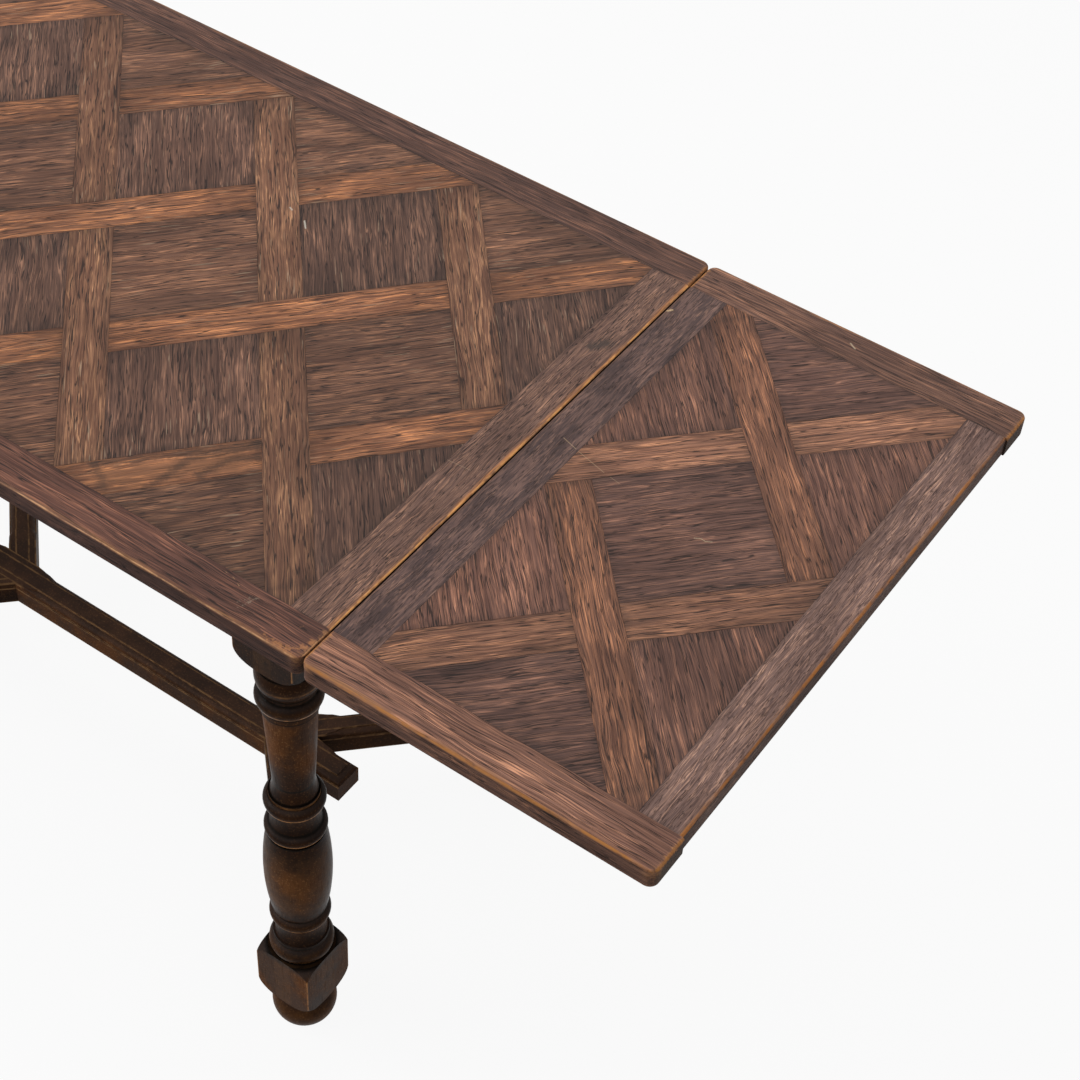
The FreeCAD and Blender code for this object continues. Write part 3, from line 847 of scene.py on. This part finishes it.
@dataclass
class PieceDresser:
    """Makes the shown copy of a solid: merged, softened at its edges and smooth-shaded."""

    bevel: float = 0.0
    bevel_angle: float = math.radians(40.0)
    smooth_angle: float = math.radians(32.0)
    flat_angle: float = math.radians(0.5)
    merge_reach: float = 0.002 * MM

    def dress(self, node: str, material: bpy.types.Material) -> bpy.types.Object:
        """Copy a solid, finish the copy's mesh and give it its material.

        Args:
            node: Name of the solid.
            material: Finish of the copy.

        Returns:
            The new object, which stands for the solid.
        """
        source = frame["nodes"][node]
        bpy.ops.object.select_all(action="DESELECT")
        source.select_set(True)
        bpy.context.view_layer.objects.active = source
        bpy.ops.object.duplicate()
        copy = bpy.context.view_layer.objects.active
        copy.name = node + "_dressed"
        body = copy["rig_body"]
        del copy["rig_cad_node"]
        bpy.ops.object.mode_set(mode="EDIT")
        bpy.ops.mesh.select_all(action="SELECT")
        bpy.ops.mesh.remove_doubles(threshold=self.merge_reach)
        bpy.ops.mesh.dissolve_limited(angle_limit=self.flat_angle)
        bpy.ops.object.mode_set(mode="OBJECT")
        if self.bevel:
            soften = copy.modifiers.new("soften", "BEVEL")
            soften.width = self.bevel
            soften.segments = 1
            soften.limit_method = "ANGLE"
            soften.angle_limit = self.bevel_angle
            bpy.ops.object.modifier_apply(modifier=soften.name)
        bpy.ops.object.shade_smooth_by_angle(angle=self.smooth_angle)
        even = copy.modifiers.new("even", "WEIGHTED_NORMAL")
        even.keep_sharp = True
        bpy.ops.object.modifier_apply(modifier=even.name)
        copy.data.materials.clear()
        copy.data.materials.append(material)
        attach(copy, body)
        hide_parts(node)
        LOG.info("dressed %s with %s", node, material.name)
        return copy


def paint_node(node: str, material: bpy.types.Material) -> None:
    """Give a solid that is shown as it is its material.

    Args:
        node: Name of the solid.
        material: Its finish.
    """
    mesh = frame["nodes"][node].data
    mesh.materials.clear()
    mesh.materials.append(material)
    LOG.info("painted %s with %s", node, material.name)


@dataclass
class ParquetTop:
    """A framed parquet top: woven pieces inside four bands."""

    prefix: str
    panel: WeavePanel
    tones: Dict[PieceKind, OakTone]
    bands: List[Band]
    marks: Tuple[Mark, ...]
    piece_bevel: float = 0.2 * MM

    def marks_on(self, node: str) -> List[Mark]:
        """Marks on one piece."""
        return [mark for mark in self.marks if mark.node == node]

    def build(self) -> None:
        """Dress the parquet pieces and the bands."""
        for kind, tone in self.tones.items():
            node = f"{self.prefix}_{kind.value}"
            sheet = Sheet(f"{node}_oak")
            material = OakFinish(tone).paint(sheet, self.panel.grain(sheet, kind), self.marks_on(node))
            PieceDresser(bevel=self.piece_bevel).dress(node, material)
        for band in self.bands:
            sheet = Sheet(f"{band.node}_oak")
            material = OakFinish(band.tone).paint(sheet, band.grain(sheet), self.marks_on(band.node))
            PieceDresser().dress(band.node, material)


@dataclass(frozen=True)
class DarkPolish:
    """Nearly black polished oak, rubbed back to brown where hands and feet reach, with a painted sheen on its
    upward faces.
    """

    ground: Colour = (0.0105, 0.0046, 0.0026)
    brown: Colour = (0.118, 0.043, 0.0122)
    # Grey of the painted sheen on upward faces.
    bloom: Colour = (0.055, 0.045, 0.042)
    rubbed: Colour = (0.400, 0.180, 0.062)
    fleck: Colour = (0.250, 0.118, 0.045)
    pore: Colour = (0.007, 0.0045, 0.0035)
    # Near black laid along the turned grooves.
    grime: Colour = (0.004, 0.003, 0.002)
    bloom_strength: Span = (0.25, 0.60)
    fleck_strength: Span = (0.10, 0.65)
    pore_strength: float = 0.22
    patch_strength: float = 0.18
    roughness: float = 0.24
    gloss: float = 0.026
    relief: float = 0.10 * MM

    def paint(self, sheet: Sheet, grain: Grain, thin: Number, rubbed: Number,
              groove: Optional[Value] = None) -> bpy.types.Material:
        """Fill a sheet with the polish.

        Args:
            sheet: Sheet of the new material.
            grain: Directions of the wood.
            thin: Where the dark polish is thin and the brown shows.
            rubbed: Where the polish is rubbed off on edges.
            groove: Where the turned grooves are darkened to near black.

        Returns:
            The finished material.
        """
        fibre = grain.noise(sheet, run=16.0, rate=260.0, roughness=0.6)
        dark = grain.noise(sheet, run=60.0, rate=700.0, detail=1.0, roughness=0.5).falling(0.36, 0.44)
        dust = sheet.cloud(420.0, 2.0).rising(0.56, 0.68)
        cloud = sheet.cloud(17.0)
        patch = cloud.rising(0.40, 0.62)
        shown = thin * between(patch, 0.45) + patch * self.patch_strength
        shown = shown * between(fibre.rising(0.35, 0.65), 0.92)
        colour = sheet.blend(shown, self.ground, self.brown)
        colour = sheet.blend(dust * between(shown, *self.fleck_strength), colour, self.fleck)
        colour = sheet.blend(dark * self.pore_strength, colour, self.pore)
        # Painted sheen: upward faces are greyed, as though they mirrored the bright room above.
        upper = sheet.upward(0.25, 0.85)
        colour = sheet.blend(upper * between(cloud, *self.bloom_strength), colour, self.bloom)
        if groove is not None:
            colour = sheet.blend(groove, colour, self.grime)
        rubbed = rubbed * between(sheet.cloud(70.0).rising(0.38, 0.56), 0.30)
        colour = sheet.blend(rubbed, colour, self.rubbed)
        height = 0.5 + fibre * 0.25 - dark * 0.35
        roughness = self.roughness + cloud * 0.14 + dark * 0.10 + shown * 0.25
        return sheet.finish(colour, roughness, height, self.relief, self.gloss)


class Corner(Enum):
    """Corners of the table, each with the signs of its place along and across."""

    NEAR_RIGHT = (1, -1)
    FAR_RIGHT = (1, 1)
    NEAR_LEFT = (-1, -1)
    FAR_LEFT = (-1, 1)

    @property
    def label(self) -> str:
        """Start of the names of the pieces at this corner."""
        return self.name.lower()


def leg_centre() -> Vector:
    """How far a leg's middle stands from the table's, along and across."""
    low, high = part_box("near_right_leg")
    return Vector(((low.x + high.x) / 2, -(low.y + high.y) / 2))


@dataclass
class Legs:
    """Four turned legs with square blocks and bun feet, with the heights of their members."""

    polish: DarkPolish = DarkPolish()
    smooth_angle: float = math.radians(28.0)
    block: float = 70.0 * MM
    column_rise: Span = (440.0 * MM, 476.0 * MM)
    column_fall: Span = (534.0 * MM, 554.0 * MM)
    bulb_rise: Span = (218.0 * MM, 255.0 * MM)
    bulb_fall: Span = (285.0 * MM, 337.0 * MM)
    # Painted shade: the bulb's brown fades out toward its sides that point along the table.
    bulb_turn: Span = (-46.0 * MM, 10.0 * MM)
    foot_fall: Span = (122.0 * MM, 134.0 * MM)
    thinness: float = 0.66
    ring_arrises: Tuple[float, ...] = (196.0, 350.0, 393.0, 556.5)
    faint_arrises: Tuple[float, ...] = (408.0, 590.0)
    arris_edge: Span = (0.5 * MM, 2.4 * MM)
    grooves: Tuple[float, ...] = (134.3, 160.0, 190.5, 210.5, 344.5, 362.4, 387.0, 411.5, 430.0, 543.0, 551.0,
                                  571.5, 577.0, 606.5)
    groove_edge: Span = (0.4 * MM, 2.4 * MM)
    crest_rise: Span = (31.5 * MM, 34.0 * MM)
    crest_fall: Span = (36.2 * MM, 37.0 * MM)
    corner_edge: Span = (0.3 * MM, 1.6 * MM)

    def thin_polish(self, sheet: Sheet, side: Value, deep: Value) -> Value:
        """Brown stretches of the column, and of the bulb and the foot block where people sit; the bulb and the
        foot block keep painted shade on sides that point along the table.

        Args:
            sheet: Sheet of the material.
            side: Distance from the leg's middle along the table.
            deep: Distance from the leg's middle across the table.

        Returns:
            Share of thin polish.
        """
        column = sheet.z.rising(*self.column_rise) * sheet.z.falling(*self.column_fall)
        bulb = sheet.z.rising(*self.bulb_rise) * sheet.z.falling(*self.bulb_fall)
        # Painted shade: the bulb's brown is kept to its side that points across the table.
        bulb = bulb * (deep - side).rising(*self.bulb_turn)
        # Painted shade: the foot block's faces that point along the table keep less brown.
        foot = sheet.z.falling(*self.foot_fall) * between(abs(sheet.facing()[1]), 0.45)
        return column.most(bulb).most(foot) * self.thinness

    @staticmethod
    def near_heights(sheet: Sheet, heights: Sequence[float], wobble: Value, edge: Span) -> Value:
        """Lines round the leg.

        Args:
            sheet: Sheet of the material.
            heights: Heights of the lines in millimetres.
            wobble: Unevenness of the lines.
            edge: Distances between which a line fades.

        Returns:
            Share of the lines.
        """
        away: Number = FAR_AWAY
        for height in heights:
            away = abs(sheet.z - height * MM + wobble).least(away)
        return away.falling(*edge)

    def grooved(self, sheet: Sheet) -> Value:
        """Dark lines in the grooves between the turned members."""
        wobble = sheet.wobble(90.0, 1.0 * MM)
        return self.near_heights(sheet, self.grooves, wobble, self.groove_edge) * 0.85

    def rubbed_edges(self, sheet: Sheet, side: Value, deep: Value) -> Value:
        """Thin bright lines on turned arrises and on the blocks' corners.

        Args:
            sheet: Sheet of the material.
            side: Distance from the leg's middle along the table.
            deep: Distance from the leg's middle across the table.

        Returns:
            Share of rubbed wood.
        """
        radius = (side * side + deep * deep).root()
        wobble = sheet.wobble(120.0, 1.6 * MM)
        rings = self.near_heights(sheet, self.ring_arrises, wobble, self.arris_edge)
        faint = self.near_heights(sheet, self.faint_arrises, wobble, self.arris_edge)
        crest = radius.rising(*self.crest_rise) * radius.falling(*self.crest_fall)
        corner = (self.block - abs(side) - abs(deep) + wobble).falling(*self.corner_edge)
        return (rings * 0.9).most(faint * 0.3).most(crest * 0.06).most(corner * 0.7)

    def build(self) -> None:
        """Dress each leg with polish that is rubbed on its rings, bulb and corners."""
        centre = leg_centre()
        sheet = Sheet("leg_dark_oak")
        side = abs(sheet.x) - centre.x
        deep = abs(sheet.y) - centre.y
        material = self.polish.paint(sheet, Grain(sheet.z, side, deep), self.thin_polish(sheet, side, deep),
                                     self.rubbed_edges(sheet, side, deep), self.grooved(sheet))
        for corner in Corner:
            PieceDresser(smooth_angle=self.smooth_angle).dress(f"{corner.label}_leg", material)


@dataclass
class Stretcher:
    """Central bar and four diagonal arms with moulded upper edges."""

    polish: DarkPolish = DarkPolish(ground=(0.0115, 0.0055, 0.0033), brown=(0.106, 0.041, 0.0150),
                                    rubbed=(0.200, 0.108, 0.050), roughness=0.36, gloss=0.028)
    mould_width: float = 9.0 * MM
    mould_depth: float = 9.5 * MM
    mould_edge: Span = (0.4 * MM, 1.6 * MM)
    arm_half: float = 17.0 * MM
    junction: float = 206.0 * MM
    top_brown: float = 0.75
    bar_brown: float = 0.55
    arm_brown: float = 0.12
    bar_half: float = field(init=False)
    top: float = field(init=False)
    bottom: float = field(init=False)

    def __post_init__(self) -> None:
        """Measure the bar."""
        low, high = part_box("stretcher_bar")
        self.bar_half = high.y
        self.top = high.z
        self.bottom = low.z

    def edge_lines(self, sheet: Sheet, across: Value, half: float) -> Value:
        """Rubbed lines on the arrises of the mouldings along one piece.

        Args:
            sheet: Sheet of the material.
            across: Distance from the piece's centre line.
            half: Half width of the piece.

        Returns:
            Share of rubbed wood.
        """
        wobble = sheet.wobble(130.0, 1.6 * MM)
        from_top = self.top - sheet.z + wobble
        out = abs(across) + wobble
        from_side = half - out
        fillet = abs(out - (half - self.mould_width)).falling(*self.mould_edge)
        fillet = fillet * from_top.falling(1.0 * MM, 2.6 * MM)
        lower = abs(from_top - self.mould_depth).falling(*self.mould_edge)
        lower = lower * from_side.falling(0.6 * MM, 2.4 * MM)
        upper = (from_side + from_top).falling(0.8 * MM, 2.6 * MM)
        foot = (from_side + sheet.z - self.bottom).falling(0.5 * MM, 2.4 * MM)
        return fillet.most(lower).most(upper).most(foot * 0.7)

    def material(self, name: str, toward: Spot, centre_x: float, half: float,
                 side_brown: float) -> bpy.types.Material:
        """Polish for a piece that runs along a direction.

        Args:
            name: Name of the material.
            toward: Unit direction of the piece.
            centre_x: Where its centre line crosses the table's centre line.
            half: Half width of the piece.
            side_brown: How far the brown shows on its upright faces.

        Returns:
            The material.
        """
        sheet = Sheet(name)
        shifted = sheet.x - centre_x
        along = shifted * toward[0] + sheet.y * toward[1]
        across = sheet.y * toward[0] - shifted * toward[1]
        thin = between(sheet.upward(0.3, 0.9), side_brown, self.top_brown)
        rubbed = self.edge_lines(sheet, across, half)
        return self.polish.paint(sheet, Grain(along, across, sheet.z), thin, rubbed)

    def build(self) -> None:
        """Dress the bar and the arms."""
        bar = self.material("bar_dark_oak", (1.0, 0.0), 0.0, self.bar_half, self.bar_brown)
        PieceDresser().dress("stretcher_bar", bar)
        leg = leg_centre()
        for corner in Corner:
            end, hand = corner.value
            name = f"{corner.label}_arm"
            run = Vector((end * (leg.x - self.junction), hand * leg.y)).normalized()
            arm = self.material(f"{name}_dark_oak", (run.x, run.y), end * self.junction, self.arm_half,
                                self.arm_brown)
            PieceDresser().dress(name, arm)


@dataclass
class UnderFrame:
    """Rails, centre board, lopers and the other pieces under the tops."""

    rail_polish: DarkPolish = DarkPolish(roughness=0.32)
    rail_thin: float = 0.5
    rail_rubbed: float = 0.8
    raw: OakTone = OakTone(body=(0.135, 0.072, 0.034), light_gain=(1.6, 1.6, 1.6), roughness=0.66, gloss=0.2,
                           side_share=1.0, streaks=0.6)
    steel_dark: Colour = (0.16, 0.15, 0.14)
    steel_light: Colour = (0.42, 0.40, 0.37)
    side_rails: Tuple[str, ...] = ("near_side_rail", "far_side_rail")
    end_rails: Tuple[str, ...] = ("right_end_rail", "left_end_rail")
    boards_along: Tuple[str, ...] = ("right_near_loper", "right_far_loper", "left_near_loper", "left_far_loper",
                                     "right_loper_guides", "left_loper_guides", "top_core")
    boards_across: Tuple[str, ...] = ("centre_board", "corner_braces", "right_leaf_core", "left_leaf_core",
                                      "right_loper_stops", "left_loper_stops", "top_pegs", "arm_dowels")
    screws: Tuple[str, ...] = ("centre_board_screws", "brace_screws", "right_loper_screws",
                               "left_loper_screws")

    def rail(self, node: str) -> None:
        """Paint a rail with the dark polish, rubbed on its lower edge.

        Args:
            node: Name of the rail.
        """
        sheet = Sheet(f"{node}_dark_oak")
        low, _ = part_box(node)
        from_foot = sheet.z - low.z + sheet.wobble(120.0, 2.0 * MM, detail=4.0)
        lower_edge = from_foot.falling(0.4 * MM, 2.4 * MM) * sheet.upward(-0.6, -0.2)
        grain = Grain.of_board(sheet, node in self.side_rails)
        paint_node(node, self.rail_polish.paint(sheet, grain, self.rail_thin, lower_edge * self.rail_rubbed))

    def board(self, node: str, seed: float) -> None:
        """Paint a hidden board with unpolished oak.

        Args:
            node: Name of the board.
            seed: Number that gives it its own stretch of grain.
        """
        sheet = Sheet(f"{node}_raw_oak")
        lie = Grain.of_board(sheet, node in self.boards_along)
        paint_node(node, OakFinish(self.raw).paint(sheet, replace(lie, chance=(seed, seed * 0.7, 0.5))))

    def steel(self) -> bpy.types.Material:
        """Mix the dulled steel of the screws.

        Returns:
            The material.
        """
        sheet = Sheet("screw_dull_steel")
        scuff = sheet.cloud(900.0, 3.0)
        colour = sheet.blend(scuff.rising(0.35, 0.7), self.steel_dark, self.steel_light)
        sheet.shader.inputs["Metallic"].default_value = 1.0
        return sheet.finish(colour, 0.36 + scuff * 0.25, scuff, depth=0.05 * MM, gloss=0.5)

    def build(self) -> None:
        """Paint every piece under the tops."""
        for node in self.side_rails + self.end_rails:
            self.rail(node)
        for count, node in enumerate(self.boards_along + self.boards_across):
            self.board(node, seed=0.13 + 0.21 * count)
        steel = self.steel()
        for node in self.screws:
            paint_node(node, steel)


@dataclass(frozen=True)
class Lamp:
    """A square soft lamp that hangs at a place and faces a point."""

    name: str
    place: Place
    aim: Place
    size: float
    power: float

    def hang(self) -> None:
        """Add the lamp to the studio."""
        data = bpy.data.lights.new(self.name, "AREA")
        data.shape = "SQUARE"
        data.size = self.size
        data.energy = self.power
        lamp = bpy.data.objects.new(self.name, data)
        bpy.context.scene.collection.objects.link(lamp)
        lamp.location = self.place
        lamp.rotation_euler = (Vector(self.aim) - Vector(self.place)).to_track_quat("-Z", "Y").to_euler()


@dataclass
class Studio:
    """Pale floor, soft lights and the camera."""

    eye: Place = (1.2934, -1.1960, 2.1691)
    azimuth: float = 31.79
    elevation: float = 46.87
    roll: float = 4.31
    lens: float = 72.68
    sensor: float = 36.0
    sight: float = 100.0
    floor_size: float = 40.0
    floor_tone: float = 0.72
    floor_roughness: float = 0.9
    floor_glow: float = 0.92
    sky_strength: float = 0.42
    lamps: Tuple[Lamp, ...] = (
        Lamp("key_lamp", place=(-1.7, -0.9, 2.6), aim=(0.2, 0.0, 0.6), size=1.6, power=31.0),
        Lamp("top_lamp", place=(0.5, 0.9, 3.0), aim=(0.3, 0.0, 0.7), size=2.4, power=26.0),
        Lamp("side_lamp", place=(-1.7, -2.2, 0.9), aim=(0.40, -0.20, 0.35), size=1.0, power=26.0),
    )

    def floor(self) -> None:
        """Lay a pale floor that shows nearly white and keeps a soft shadow."""
        bpy.ops.object.select_all(action="DESELECT")
        bpy.ops.mesh.primitive_plane_add(size=self.floor_size)
        plane = bpy.context.view_layer.objects.active
        plane.name = "studio_floor"
        sheet = Sheet("studio_floor_white")
        sheet.shader.inputs["Base Color"].default_value = (*[self.floor_tone] * 3, 1.0)
        sheet.shader.inputs["Roughness"].default_value = self.floor_roughness
        glow = sheet.node("ShaderNodeEmission", inputs={"Color": WHITE, "Strength": 1.0})
        mixed = sheet.node("ShaderNodeMixShader", inputs={0: sheet.shown_rays() * self.floor_glow,
                                                          1: sheet.shader.outputs[0], 2: glow.outputs[0]})
        sheet.tree.links.new(mixed.outputs[0], sheet.output.inputs["Surface"])
        plane.data.materials.append(sheet.material)

    def world(self) -> None:
        """Light the room evenly and show it white."""
        world = bpy.data.worlds.new("studio_world")
        bpy.context.scene.world = world
        world.use_nodes = True
        nodes = Nodes(world.node_tree)
        light = nodes.node("ShaderNodeBackground", inputs={"Color": WHITE, "Strength": self.sky_strength})
        shown = nodes.node("ShaderNodeBackground", inputs={"Color": WHITE, "Strength": 1.0})
        mixed = nodes.node("ShaderNodeMixShader",
                           inputs={0: nodes.shown_rays(), 1: light.outputs[0], 2: shown.outputs[0]})
        nodes.node("ShaderNodeOutputWorld", inputs={"Surface": mixed.outputs[0]})

    def camera(self) -> None:
        """Stand the camera where the photograph was taken from."""
        data = bpy.data.cameras.new("studio_camera")
        data.lens = self.lens
        data.sensor_width = self.sensor
        data.clip_end = self.sight
        camera = bpy.data.objects.new("studio_camera", data)
        bpy.context.scene.collection.objects.link(camera)
        turn = Euler((math.radians(90.0 - self.elevation), 0.0, math.radians(self.azimuth))).to_matrix()
        lean = Euler((0.0, 0.0, math.radians(self.roll))).to_matrix()
        camera.location = self.eye
        camera.rotation_euler = (turn @ lean).to_euler()
        bpy.context.scene.camera = camera

    def build(self) -> None:
        """Set up floor, light and camera."""
        bpy.context.scene.view_settings.view_transform = "Standard"
        self.floor()
        self.world()
        for lamp in self.lamps:
            lamp.hang()
        self.camera()
        LOG.info("set up the studio with %d lamps", len(self.lamps))


def top_marks() -> Tuple[Mark, ...]:
    """Marks on the main top: chips and flecks, rubs on its near band, and the dark figure of one strip.

    Returns:
        The marks, in the order in which they lie on each other.
    """
    white = (0.62, 0.57, 0.48)
    pale = (0.40, 0.30, 0.22)
    figure = (0.034, 0.020, 0.014)
    return (
        Mark("top_right_band", ((503.0, 148.0), (511.0, 160.0)),
             half_width=7.0, colour=(0.026, 0.020, 0.017), strength=0.75, waver=1.5),
        Mark("top_right_band", ((485.0, -60.0), (509.0, -58.0)),
             half_width=0.45, colour=(0.36, 0.25, 0.17), strength=0.4),
        Mark("top_near_band", ((451.0, -308.0), (457.5, -292.0)),
             half_width=1.5, colour=pale, strength=0.45, waver=3.0, broken=260.0),
        Mark("top_near_band", ((446.0, -305.0), (452.0, -294.0)),
             half_width=1.2, colour=pale, strength=0.40, waver=3.0, broken=260.0),
        Mark("top_near_band", ((416.0, -284.5), (426.6, -285.8), (436.0, -290.0)),
             half_width=0.4, colour=(0.60, 0.36, 0.18), strength=0.45, waver=3.0, broken=150.0),
        Mark("top_near_band",
             ((489.0, -320.0), (505.0, -319.6), (516.0, -318.5), (521.5, -312.0), (524.0, -302.0)),
             half_width=3.5, colour=(0.50, 0.215, 0.080), strength=0.60, waver=3.5, broken=230.0),
        Mark("top_near_band", ((505.6, -295.4), (510.2, -286.6)),
             half_width=0.5, colour=(0.42, 0.19, 0.08), strength=0.45, waver=3.0, broken=150.0),
        Mark("top_falling_strips", ((145.0, 132.0), (149.0, 130.0)),
             half_width=0.9, colour=white, strength=0.7, waver=3.0),
        Mark("top_falling_squares", ((170.0, 124.0), (178.0, 116.0)),
             half_width=0.9, colour=white, strength=0.8, waver=3.0),
        Mark("top_falling_squares", ((179.0, 102.0), (183.0, 100.0)),
             half_width=0.8, colour=white, strength=0.7, waver=3.0),
        Mark("top_rising_strips", ((262.0, -262.0), (334.0, -178.0)),
             half_width=14.0, colour=(0.190, 0.084, 0.040), strength=0.60),
        Mark("top_rising_strips",
             ((341.0, -151.0), (320.0, -174.0), (302.0, -203.0), (301.0, -226.0), (297.0, -250.0)),
             half_width=4.5, colour=figure, strength=0.55),
        Mark("top_rising_strips",
             ((349.0, -162.0), (332.0, -178.0), (327.0, -195.0), (321.0, -211.0), (331.0, -213.0)),
             half_width=4.0, colour=figure, strength=0.55),
        Mark("top_rising_strips", ((241.0, -257.0), (253.0, -264.0), (267.0, -274.0)),
             half_width=5.0, colour=figure, strength=0.5),
        Mark("top_rising_strips", ((240.0, -256.0), (268.0, -226.0), (300.0, -190.0), (338.0, -148.0)),
             half_width=5.0, colour=figure, strength=0.5),
    )


def main_top() -> ParquetTop:
    """The main top, weathered and coarse.

    Returns:
        The top.
    """
    weathered = OakTone(body=(0.138, 0.065, 0.041), fibre_rate=450.0, fibre_run=12.0, thread_rate=460.0,
                        thread_run=15.0, pore_run=19.0, specks=0.5)
    framing = OakTone(body=(0.086, 0.040, 0.029), fibre_rate=520.0, fibre_run=7.0, thread_rate=540.0,
                      thread_run=9.0, pore_run=14.0, streaks=0.85)
    # The rim colours of the near and seamed bands are painted highlights on the arris as well as bare wood.
    near = replace(framing, body=(0.114, 0.048, 0.034), rim=(0.78, 0.42, 0.20))
    seamed = replace(framing, body=(0.140, 0.076, 0.058), worn=(0.62, 0.250, 0.082), rim=(1.0, 0.47, 0.155),
                     fibre_rate=600.0, fibre_run=18.0, thread_rate=640.0, thread_run=26.0, pore_run=45.0,
                     streaks=0.75)
    left = Band("top_left_band", Side.LOW_END, seamed, edge_wear=0.75, seed=0.71, wear_reach=1.2,
                soot_depth=2.4, rim_wear=1.0, rim_reach=0.8)
    return ParquetTop(
        prefix="top",
        panel=WeavePanel("top_core", "top_near_band", columns=4),
        tones={
            PieceKind.FALLING_STRIPS: replace(weathered, body=(0.166, 0.074, 0.043),
                                              light_gain=(3.30, 3.80, 3.40)),
            PieceKind.RISING_STRIPS: replace(weathered, body=(0.222, 0.096, 0.052),
                                             light_gain=(3.70, 3.45, 2.50)),
            PieceKind.FALLING_SQUARES: replace(weathered, body=(0.111, 0.055, 0.038),
                                               light_gain=(3.70, 3.80, 3.40)),
            PieceKind.RISING_SQUARES: weathered,
        },
        bands=[
            Band("top_near_band", Side.NEAR, near, edge_wear=0.7, seed=0.11, rim_reach=0.6),
            Band("top_far_band", Side.FAR, framing, edge_wear=0.5, seed=0.43, rim_wear=0.6),
            left,
            replace(left, node="top_right_band", side=Side.HIGH_END, seed=0.92,
                    tone=replace(seamed, body=(0.146, 0.079, 0.060))),
        ],
        marks=top_marks(),
    )


class Hand(Enum):
    """End of the table that a leaf draws out of."""

    RIGHT = "right"
    LEFT = "left"


def right_leaf_marks() -> Tuple[Mark, ...]:
    """Marks on the right leaf: one long scratch over three pieces, and small chips.

    Returns:
        The marks.
    """
    scratch = (0.48, 0.33, 0.20)
    return (
        Mark("right_leaf_inner_band", ((552.0, 28.0), (569.0, 23.0)),
             half_width=0.40, colour=scratch, strength=0.6),
        Mark("right_leaf_rising_strips", ((572.0, 22.0), (606.0, 13.5)),
             half_width=0.35, colour=scratch, strength=0.5),
        Mark("right_leaf_rising_squares", ((606.0, 13.5), (625.0, 10.4)),
             half_width=0.30, colour=scratch, strength=0.4),
        Mark("right_leaf_rising_squares", ((714.0, -5.0), (719.0, -2.0), (724.0, -2.5), (729.0, 0.6)),
             half_width=0.45, colour=(0.62, 0.48, 0.30), strength=0.6, waver=3.0),
        Mark("right_leaf_inner_band", ((531.5, 236.0), (534.5, 240.0)),
             half_width=1.2, colour=(0.60, 0.42, 0.24), strength=0.9, waver=3.0),
        Mark("right_leaf_far_band", ((697.0, 306.0), (704.0, 302.0)),
             half_width=0.8, colour=(0.55, 0.44, 0.30), strength=0.7, waver=3.0),
    )


def leaf(hand: Hand) -> ParquetTop:
    """A draw leaf at one end, less worn and finer than the main top.

    Args:
        hand: End that it draws out of.

    Returns:
        The leaf's top.
    """
    right = hand is Hand.RIGHT
    prefix = f"{hand.value}_leaf"
    inner, outer = (Side.LOW_END, Side.HIGH_END) if right else (Side.HIGH_END, Side.LOW_END)
    shift = 0.0 if right else 0.23
    sound = OakTone(body=(0.129, 0.062, 0.047), fibre_rate=520.0, fibre_run=9.0, ring_rate=240.0,
                    thread_rate=540.0, thread_run=15.0, pore_run=19.0, specks=0.05)
    framing = OakTone(body=(0.139, 0.068, 0.048), fibre_rate=540.0, fibre_run=6.0, thread_rate=580.0,
                      thread_run=8.0, pore_run=14.0, streaks=0.9)
    figured = replace(framing, body=(0.138, 0.077, 0.064), fibre_run=45.0, thread_run=34.0, pore_run=50.0,
                      streaks=0.40, pores=0.7, figure=1.0, shade_share=(0.40, 0.40, 0.45))
    # Paler, greyer body for the outer band: painted sheen of raking light over the wood's own colour.
    grey_sheened = replace(framing, body=(0.180, 0.105, 0.088), fibre_run=18.0, thread_rate=640.0, thread_run=24.0,
                   pore_run=60.0, pores=0.6, rim=(0.42, 0.150, 0.030))
    return ParquetTop(
        prefix=prefix,
        panel=WeavePanel(f"{prefix}_core", f"{prefix}_near_band", columns=1),
        tones={
            PieceKind.FALLING_STRIPS: replace(sound, body=(0.186, 0.081, 0.048)),
            PieceKind.RISING_STRIPS: replace(sound, body=(0.244, 0.113, 0.070)),
            PieceKind.FALLING_SQUARES: replace(sound, body=(0.174, 0.081, 0.058)),
            PieceKind.RISING_SQUARES: sound,
        },
        bands=[
            Band(f"{prefix}_near_band", Side.NEAR, replace(framing, body=(0.215, 0.102, 0.070)),
                 edge_wear=0.9, seed=0.19 + shift, wear_reach=1.2),
            Band(f"{prefix}_far_band", Side.FAR, framing, edge_wear=0.7, seed=0.53 + shift),
            Band(f"{prefix}_inner_band", inner, figured, edge_wear=0.15, seed=0.29 + shift, soot_depth=1.2,
                 rim_wear=0.0),
            Band(f"{prefix}_outer_band", outer, grey_sheened, edge_wear=0.7, seed=0.61 + shift, rim_wear=1.0),
        ],
        marks=right_leaf_marks() if right else (),
    )


def main() -> None:
    """Build the looks in order."""
    logging.basicConfig(level=logging.INFO)
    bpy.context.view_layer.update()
    main_top().build()
    for hand in Hand:
        leaf(hand).build()
    Legs().build()
    Stretcher().build()
    UnderFrame().build()
    Studio().build()


if __name__ == "__main__":
    main()
